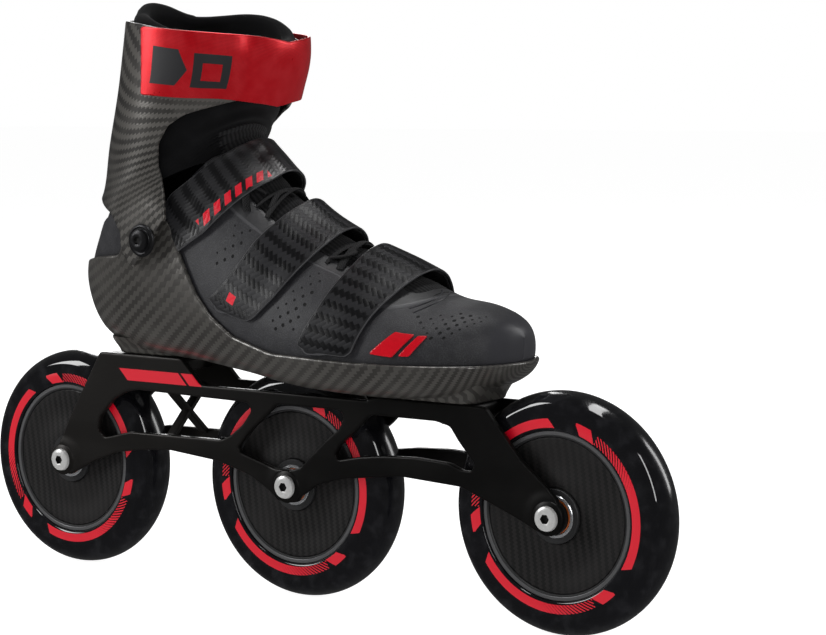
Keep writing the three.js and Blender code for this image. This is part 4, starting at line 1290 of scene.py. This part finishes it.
def make_straps():
    """Each strap: a printed face over a slightly narrower backing, lifted by a Gauss bump where it
    bridges the throat, and its sewn loop on the inner side."""
    for name, points in STRAPS.items():
        metric = [(a * ROW_MM, b * ROUND_MM) for a, b in points]
        line = outline_field(kept_corners(metric, 5.0, 2))
        low, high = np.min(metric, 0) - 3, np.max(metric, 0) + 3
        s = np.arange(low[0], high[0], 1.0) / ROW_MM
        v = np.arange(low[1], high[1], 1.0) / ROUND_MM
        lift = STRAP_LIFT[name]

        def surface(a, b, offset, lift=lift, name=name):
            """The strap rises where it spans the throat, most at its toe edge."""
            bridge = np.exp(-(((b - 3.3) / np.where(b < 3.3, 0.62, 0.72)) ** 2))
            sag = 0.5 * np.sin(a * 9.0) * np.exp(-(((b - 2.3) / 0.5) ** 2))
            front = 0.35 + (10.2 - a) / 2.8 if name == "instep" else 1.0
            return skin(a, b, offset + (lift * front) * bridge + 0.25 * sag)

        field = in_millimetres(line)
        narrower = in_millimetres(lambda x, y, line=line: line(x, y) + 1.1)
        face = cut_sheet(surface, field, s, v, rim_profile(1.3, 2.5, 0.58, 4), (ROW_MM, ROUND_MM))
        backing = cut_sheet(surface, narrower, s, v, rim_profile(0.35, 1.35, 0.45, 3), (ROW_MM, ROUND_MM),
                            finish=1)
        print_name = {"instep": "strap_marked", "middle": "strap_spot", "toe": "strap"}[name]
        piece(f"{name}_strap_band", [face, backing], [MATERIALS[print_name], MATERIALS["backing"]], "skate",
              [f"{name}_strap"], sharp=60)
    make_keepers()


# Each loop's first and last section, its angle round the form, and its rise over the strap.
KEEPERS = {
    "instep": (8.87, 10.05, 4.05, 5.2),
    "middle": (6.68, 7.68, 4.28, 4.4),
    "toe": (4.72, 5.66, 4.32, 4.0),
}


def make_keepers():
    """The loop over each strap: a tape whose offset rises over the strap and falls at both feet."""
    for name, (s0, s1, centre, lift) in KEEPERS.items():
        grow = 0.24
        a = np.linspace(s0 - grow, s1 + grow, 60)
        rise = ramp(a, s0 - grow, s0 - 0.05) * (1 - ramp(a, s1 + 0.05, s1 + grow))
        around = np.array([-1, -0.97, 0, 0.97, 1]) * 0.1
        s, v = np.meshgrid(a, centre + around, indexing="ij")
        under, over = (skin(s, v, face + lift * rise[:, None] * np.ones_like(s)) for face in (0.4, 1.7))
        ring = np.concatenate([over, under[:, ::-1], over[:, :1]], 1)
        first, last = (np.zeros_like(end) + end.mean(1, keepdims=True) for end in (ring[:1], ring[-1:]))
        points = np.concatenate([first, ring, last])
        rows, columns = points.shape[:2]
        uv = np.stack(np.meshgrid(np.arange(rows) * 0.7, np.arange(columns) * 1.6, indexing="ij"), -1)
        piece(f"{name}_strap_loop", grid_patch(points, uv), MATERIALS["webbing"], "skate",
              [f"{name}_keeper"], sharp=60)


# ------------------------------------------------------------------ soft inner pieces
def closed_pad(surface, a, b):
    """A pad from surface(a, b, side), with side 0 inside and 1 outside, joined round its edge."""
    grid_a, grid_b = np.meshgrid(a, b, indexing="ij")
    patches = []
    for side in (0, 1):
        points = surface(grid_a, grid_b, side)
        uv = np.stack([grid_a * ROW_MM, grid_b * ROUND_MM], -1)
        patches.append(grid_patch(points, uv))
    inner, outer = (p.points.reshape(grid_a.shape + (3,)) for p in patches)
    uv = np.stack([grid_a * ROW_MM, grid_b * ROUND_MM], -1)
    for edge in ((0,), (-1,), (slice(None), 0), (slice(None), -1)):
        patches.append(grid_patch(np.stack([inner[edge], outer[edge]]), np.stack([uv[edge], uv[edge]])))
    return patches


def make_tongue():
    """The padded tongue: a strip under the throat, crowned across and quilted along its length.
    The inside follows the form, and the outside swells by a sine across and dips at the seams."""
    def surface(s, v, side):
        across = np.clip((v - np.pi) / 0.74, -1, 1)
        quilt = 0.5 * np.abs(np.sin((s - 4.2) * np.pi / 0.62))
        swell = (1 - across**4) * (3.4 + quilt)
        offset = -6.2 + swell * 1.75 * side
        return skin(s, v, offset)

    a, b = np.linspace(4.1, 11.4, 150), np.pi + np.linspace(-0.74, 0.74, 56)
    pad = piece("tongue_padding", closed_pad(surface, a, b), MATERIALS["knit"], "skate", ["tongue"],
                sharp=70)
    make_liners()
    make_laces()


def make_liners():
    """The foot's lining and the insole: layers that follow the form inside the upper. The
    insole's top swells by a sine along the foot times a cosine across it."""
    a, b = np.linspace(1.1, 11.9, 120), np.linspace(-2.5, 2.5, 110)
    line = outline_field(kept_corners(UPPER_LINE, 6.0, 2))

    def trim(s, v):
        points = form(s, v)
        return line(points[..., 0], points[..., 2] + 1.5)

    profile = rim_profile(-5.4, -2.1, 1.5, 4)
    sheet = cut_sheet(skin, trim, a, b, profile, (ROW_MM, ROUND_MM))
    pad = piece("foot_lining", sheet, MATERIALS["suede"], "skate", ["foot_liner"], sharp=60)

    def sole(s, v, side):
        crown = 0.5 * np.sin(s * 2.2) * np.cos(v * 2)
        return skin(s, v, np.where(side > 0, -6.1, -9.2 + crown))

    a, b = np.linspace(1.7, 9.6, 90), np.linspace(-0.68, 0.68, 40)
    pad = piece("insole_pad", closed_pad(sole, a, b), MATERIALS["suede"], "skate", ["insole"],
                sharp=60)


def make_laces():
    """Flat laces that cross the throat in the gaps between the straps, and two tucked ends."""
    patches = []
    for s0, s1 in ((5.76, 6.1), (6.08, 5.79), (7.66, 7.98), (8.0, 7.68)):
        b = np.linspace(-1, 1, 25)
        s = s0 + (s1 - s0) * (b + 1) / 2
        v = np.pi + 0.56 * b
        offset = -0.6 + 3.2 * (1 - b**2) + (0.8 if s0 < s1 else 0.0)
        patches.append(tube(skin(s, v, offset), 2.6, 10, 0.3))
    for s0, v0, ds, dv in ((8.05, 2.78, 0.36, -0.3), (7.72, 2.7, 0.12, 0.42), (6.05, 2.66, -0.3, 0.3)):
        t = np.linspace(0, 1, 25)
        s, v = s0 + ds * np.sin(np.pi * t), v0 + dv * t
        patches.append(tube(skin(s, v, 0.9 + 2.6 * np.sin(np.pi * t)), 2.2, 10, 0.4))
    piece("laces", patches, MATERIALS["webbing"], "skate", sharp=60)


def gauss(distance, width):
    """A bump of height 1 at distance 0: e to the power of minus (distance / width) squared."""
    return np.exp(-((distance / width) ** 2))


def collar_top(v):
    """The section value of the collar's top edge at angle v: high behind, low on the outer side,
    and high again at the inner front."""
    angles = np.array([-np.pi, -2.6, -2.0, -1.4, -0.6, 0.0, 0.5, 1.0, 1.5, 2.2, np.pi])
    values = np.array([15.12, 15.2, 15.64, 15.94, 15.92, 16.12, 16.08, 15.88, 15.6, 15.2, 15.12])
    wrapped = np.mod(v + np.pi, 2 * np.pi) - np.pi
    ring_a = np.concatenate([angles[:-1] - 2 * np.pi, angles, angles[1:] + 2 * np.pi])
    ring_v = np.concatenate([values[:-1], values, values[1:]])
    total = sum(np.interp(wrapped + shift, ring_a, ring_v) for shift in np.linspace(-0.2, 0.2, 7))
    return total / 7


def make_collar():
    """The padded ankle collar: a tube round the leg whose wall swells between its seams. Its
    outside is the form less the cuff's room, its top edge is a half round, and the front folds
    softly where the ankle bends."""
    angle = np.linspace(0, 2 * np.pi, 161)
    outer_a, top_a, inner_a = np.linspace(0, 1, 90), np.linspace(0, 1, 9)[1:-1], np.linspace(1, 0, 40)
    rows = []
    front = np.exp(-(((np.mod(angle, 2 * np.pi) - np.pi) / 1.05) ** 2))
    bottom = 11.6 - 2.1 * front
    top = collar_top(angle)

    for a in outer_a:
        s = bottom + (top - bottom) * a
        puff = front * (2.6 * gauss(s - 13.05, 0.55) + 1.8 * gauss(s - 12.0, 0.3))
        ribs = 0.7 * front * np.sin((s - 9.4) * 2 * np.pi / 0.2) * ramp(-s, -11.6, -11.2)
        roll = 2.4 * gauss(s - top + 0.16, 0.16)
        rows.append(skin(s, angle, puff + ribs + roll - 1.0))
    for t in top_a:
        s = top + 0.055 * np.sin(np.pi * t)
        rows.append(skin(s, angle, np.full(angle.shape, -0.2 - 6.2 * t)))
    for a in inner_a:
        s = bottom + (top - bottom) * a
        swell = 1.2 * np.sin(np.clip((s - 14.2) / 1.7, 0, 1) * np.pi)
        rows.append(skin(s, angle, -6.4 - swell))
    rows.append(rows[0])
    points = np.stack(rows)
    run = np.arange(len(rows)) * 1.6
    uv = np.stack(np.broadcast_arrays(run[:, None], angle[None] * ROUND_MM), -1)
    body = ("skate", "cuff", (-0.06, 0, 0.222), (-0.06, 0, 0.262))
    pad = piece("collar_padding", grid_patch(points, uv), MATERIALS["suede"], body, ["ankle_liner"],
                sharp=70)


# ------------------------------------------------------------------ cuff strap and heel
def make_cuff_strap():
    """The red strap: a wide band round the cuff with rounded ends, standing off in front, with
    shallow folds that run up and down it."""
    def edges(v):
        aside = np.clip(np.abs(np.mod(v, 2 * np.pi) - np.pi) / 1.72, 0, 1)
        return 13.12 + (14.6 - 13.12) * aside, 15.14 + (15.66 - 15.14) * aside

    start, end = 1.36, 2 * np.pi - 1.5
    length, height = (end - start) * 50.0, 42.0

    def surface(a, b, offset):
        v = start + (end - start) * b / length
        low, high = edges(v)
        s = (low + high) / 2 + (high - low) * a / height
        front = gauss(v - np.pi, 0.8)
        deep = 1.1 * np.sin(v * 7.5 + a * 0.03) * gauss(v - 2.45, 0.4)
        shallow = 0.25 * np.sin(v * 9 + a * 0.06) * front
        return skin(s, v, offset + 3.0 * front * (0.6 - a / height) + deep + shallow + 0.5)

    box = [(-21, 5), (21, 0), (21, length), (-21, length)]
    line = outline_field(kept_corners(box, 4.0, 2))
    a, b = np.arange(-23, 23.1, 1.0), np.arange(-2, length + 2, 1.0)
    sheet = cut_sheet(surface, line, a, b, rim_profile(6.7, 8.2, 0.7, 4), (1.0, 1.0))
    piece("cuff_strap_band", sheet, MATERIALS["foil"], "cuff", ["cuff_strap"], sharp=60)


def make_heel():
    """The pull tape up the back of the cuff, and a small reflective tape on the heel: the skin
    between two offsets, cut by a rounded box."""
    def plate(s_low, s_high, v_low, v_high, inner, outer, name, material, body, stands_for):
        """A tape with rounded corners on the skin, between two offsets."""
        corners = np.array([(s_low, v_low), (s_high, v_low), (s_high, v_high), (s_low, v_high)])
        outline = kept_corners(corners * [ROW_MM, ROUND_MM], 2.0)
        line = outline_field(outline)
        low, high = outline.min(0) - 2, outline.max(0) + 2
        s, v = np.arange(low[0], high[0], 0.8) / ROW_MM, np.arange(low[1], high[1], 0.8) / ROUND_MM
        profile = rim_profile(inner, outer, (outer - inner) * 0.45, 3)
        sheet = cut_sheet(skin, in_millimetres(line), s, v, profile, (ROW_MM, ROUND_MM))
        piece(name, sheet, MATERIALS[material], body, stands_for, sharp=60)

    plate(13.9, 15.5, -0.16, 0.16, 6.0, 7.5, "heel_pull", "webbing", "cuff", ["heel_tab"])
    plate(11.85, 12.4, 0.28, 0.6, 0.05, 0.5, "heel_reflector", "grey", "skate", [])


# ------------------------------------------------------------------ fasteners
def make_fasteners():
    """The pivot screws and washers, and a steel finish for the parts hidden in the frame."""
    x, z = PIVOT
    for where, side in SIDES.items():
        bolt = [(0, 49.0), (2.1, 49.0), (2.35, 49.3), (2.35, 50.0), (2.8, 50.3), (4.6, 50.2), (5.8, 49.4),
                (6, 48.3), (6, 47.75), (4, 47.7), (4, 38.9), (7.3, 38.8), (7.5, 38.5), (7.5, 37.8),
                (7.2, 37.6), (0, 37.6)]
        screw = socket_screw([(r, y * side) for r, y in bolt], x, z)
        # The second material paints the socket's shade.
        piece(f"pivot_screw_{where}", screw, [MATERIALS["black"], MATERIALS["dark"]], "skate",
              [f"pivot_bolt_{where}"], sharp=35)
        ring = [(4.3, 45.9), (9.0, 45.9), (9.1, 46.3), (8.7, 47.0), (8.1, 47.4), (7.6, 47.5), (7.2, 47.25),
                (6.6, 47.25), (6.3, 47.6), (4.3, 47.6)]
        washer = turned([(r, y * side) for r, y in ring], 72, x, z)
        piece(f"pivot_ring_{where}", washer, MATERIALS["black"], "skate", [f"pivot_washer_{where}"],
              sharp=35)
    kept = ["mount_bolt_rear", "mount_bolt_front", "mount_washer_rear", "mount_washer_front"]
    for node in kept + [f"{wheel}_spacer" for wheel in WHEELS]:
        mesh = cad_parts[node].data
        mesh.materials.clear()
        mesh.materials.append(MATERIALS["bolt"])


# ------------------------------------------------------------------ add-on
class SkateLooks(bpy.types.PropertyGroup):
    """Sizes and colours that a user would change."""

    weave_mm: bpy.props.FloatProperty(
        name="Weave", description="Width of one carbon tow, in millimetres",
        default=2.0, min=0.5, max=8)
    edge_mm: bpy.props.FloatProperty(
        name="Frame edge", description="Radius of the frame's edges, in millimetres",
        default=0.9, min=0.1, max=1.9)
    hole_pitch_mm: bpy.props.FloatProperty(
        name="Hole pitch", description="Distance between punched holes, in millimetres",
        default=6.2, min=3, max=15)
    lens_mm: bpy.props.FloatProperty(
        name="Lens", description="Focal length of the camera, in millimetres",
        default=98.66, min=20, max=300)
    light: bpy.props.FloatProperty(
        name="Light", description="Strength of all the lamps together",
        default=1.0, min=0, max=10, subtype="FACTOR")
    print_red: bpy.props.FloatVectorProperty(
        name="Print red", description="Colour of the printed marks",
        default=(0.66, 0.002, 0.018), min=0, max=1, subtype="COLOR")
    foil_red: bpy.props.FloatVectorProperty(
        name="Foil red", description="Colour of the cuff strap",
        default=(0.68, 0.004, 0.012), min=0, max=1, subtype="COLOR")


class SKATE_OT_materials(bpy.types.Operator):
    """Make every finish"""

    bl_idname = "skate.materials"
    bl_label = "Finishes"
    bl_options = {"REGISTER", "UNDO"}

    def execute(self, context):
        make_materials(context.scene.skate_looks)
        return {"FINISHED"}


class SKATE_OT_stage(bpy.types.Operator):
    """Make the floor, lights and camera"""

    bl_idname = "skate.stage"
    bl_label = "Stage"
    bl_options = {"REGISTER", "UNDO"}

    def execute(self, context):
        make_stage(context.scene.skate_looks)
        return {"FINISHED"}


class SKATE_OT_frame(bpy.types.Operator):
    """Build the windowed frame"""

    bl_idname = "skate.frame"
    bl_label = "Frame"
    bl_options = {"REGISTER", "UNDO"}

    def execute(self, context):
        make_frame(context.scene.skate_looks)
        return {"FINISHED"}


class SKATE_OT_wheels(bpy.types.Operator):
    """Build the tyres, hubs, bearings and axles"""

    bl_idname = "skate.wheels"
    bl_label = "Wheels"
    bl_options = {"REGISTER", "UNDO"}

    def execute(self, context):
        make_wheels(context.scene.skate_looks)
        return {"FINISHED"}


class SKATE_OT_tub(bpy.types.Operator):
    """Build the tub under the foot"""

    bl_idname = "skate.tub"
    bl_label = "Carbon tub"
    bl_options = {"REGISTER", "UNDO"}

    def execute(self, context):
        make_tub()
        return {"FINISHED"}


class SKATE_OT_cuff(bpy.types.Operator):
    """Build the hinged cuff"""

    bl_idname = "skate.cuff"
    bl_label = "Cuff"
    bl_options = {"REGISTER", "UNDO"}

    def execute(self, context):
        make_cuff()
        return {"FINISHED"}


class SKATE_OT_upper(bpy.types.Operator):
    """Build the upper and its details"""

    bl_idname = "skate.upper"
    bl_label = "Upper"
    bl_options = {"REGISTER", "UNDO"}

    def execute(self, context):
        make_upper(context.scene.skate_looks)
        return {"FINISHED"}


class SKATE_OT_straps(bpy.types.Operator):
    """Build the straps and their loops"""

    bl_idname = "skate.straps"
    bl_label = "Straps"
    bl_options = {"REGISTER", "UNDO"}

    def execute(self, context):
        make_straps()
        return {"FINISHED"}


class SKATE_OT_tongue(bpy.types.Operator):
    """Build the tongue, linings and laces"""

    bl_idname = "skate.tongue"
    bl_label = "Tongue and linings"
    bl_options = {"REGISTER", "UNDO"}

    def execute(self, context):
        make_tongue()
        return {"FINISHED"}


class SKATE_OT_collar(bpy.types.Operator):
    """Build the padded ankle collar"""

    bl_idname = "skate.collar"
    bl_label = "Collar"
    bl_options = {"REGISTER", "UNDO"}

    def execute(self, context):
        make_collar()
        return {"FINISHED"}


class SKATE_OT_cuff_strap(bpy.types.Operator):
    """Build the red strap"""

    bl_idname = "skate.cuff_strap"
    bl_label = "Cuff strap"
    bl_options = {"REGISTER", "UNDO"}

    def execute(self, context):
        make_cuff_strap()
        return {"FINISHED"}


class SKATE_OT_heel(bpy.types.Operator):
    """Build the heel tapes"""

    bl_idname = "skate.heel"
    bl_label = "Heel"
    bl_options = {"REGISTER", "UNDO"}

    def execute(self, context):
        make_heel()
        return {"FINISHED"}


class SKATE_OT_fasteners(bpy.types.Operator):
    """Build the pivot screws and washers"""

    bl_idname = "skate.fasteners"
    bl_label = "Fasteners"
    bl_options = {"REGISTER", "UNDO"}

    def execute(self, context):
        make_fasteners()
        return {"FINISHED"}


OPERATORS = [
    SKATE_OT_materials, SKATE_OT_stage, SKATE_OT_frame, SKATE_OT_wheels,
    SKATE_OT_tub, SKATE_OT_cuff, SKATE_OT_upper, SKATE_OT_straps,
    SKATE_OT_tongue, SKATE_OT_collar, SKATE_OT_cuff_strap, SKATE_OT_heel,
    SKATE_OT_fasteners,
]


class SKATE_PT_panel(bpy.types.Panel):
    """Lists the looks and the operators."""

    bl_label = "Skate"
    bl_idname = "SKATE_PT_panel"
    bl_space_type = "VIEW_3D"
    bl_region_type = "UI"
    bl_category = "Skate"

    def draw(self, context):
        for name in SkateLooks.__annotations__:
            self.layout.prop(context.scene.skate_looks, name)
        for made in OPERATORS:
            self.layout.operator(made.bl_idname)


def register():
    for made in [SkateLooks, *OPERATORS, SKATE_PT_panel]:
        bpy.utils.register_class(made)
    bpy.types.Scene.skate_looks = bpy.props.PointerProperty(type=SkateLooks)


def unregister():
    del bpy.types.Scene.skate_looks
    for made in [SKATE_PT_panel, *OPERATORS[::-1], SkateLooks]:
        bpy.utils.unregister_class(made)


def main():
    """Builds the skate."""
    register()
    for made in OPERATORS:
        getattr(bpy.ops.skate, made.bl_idname.split(".")[1])()


if __name__ == "__main__":
    main()
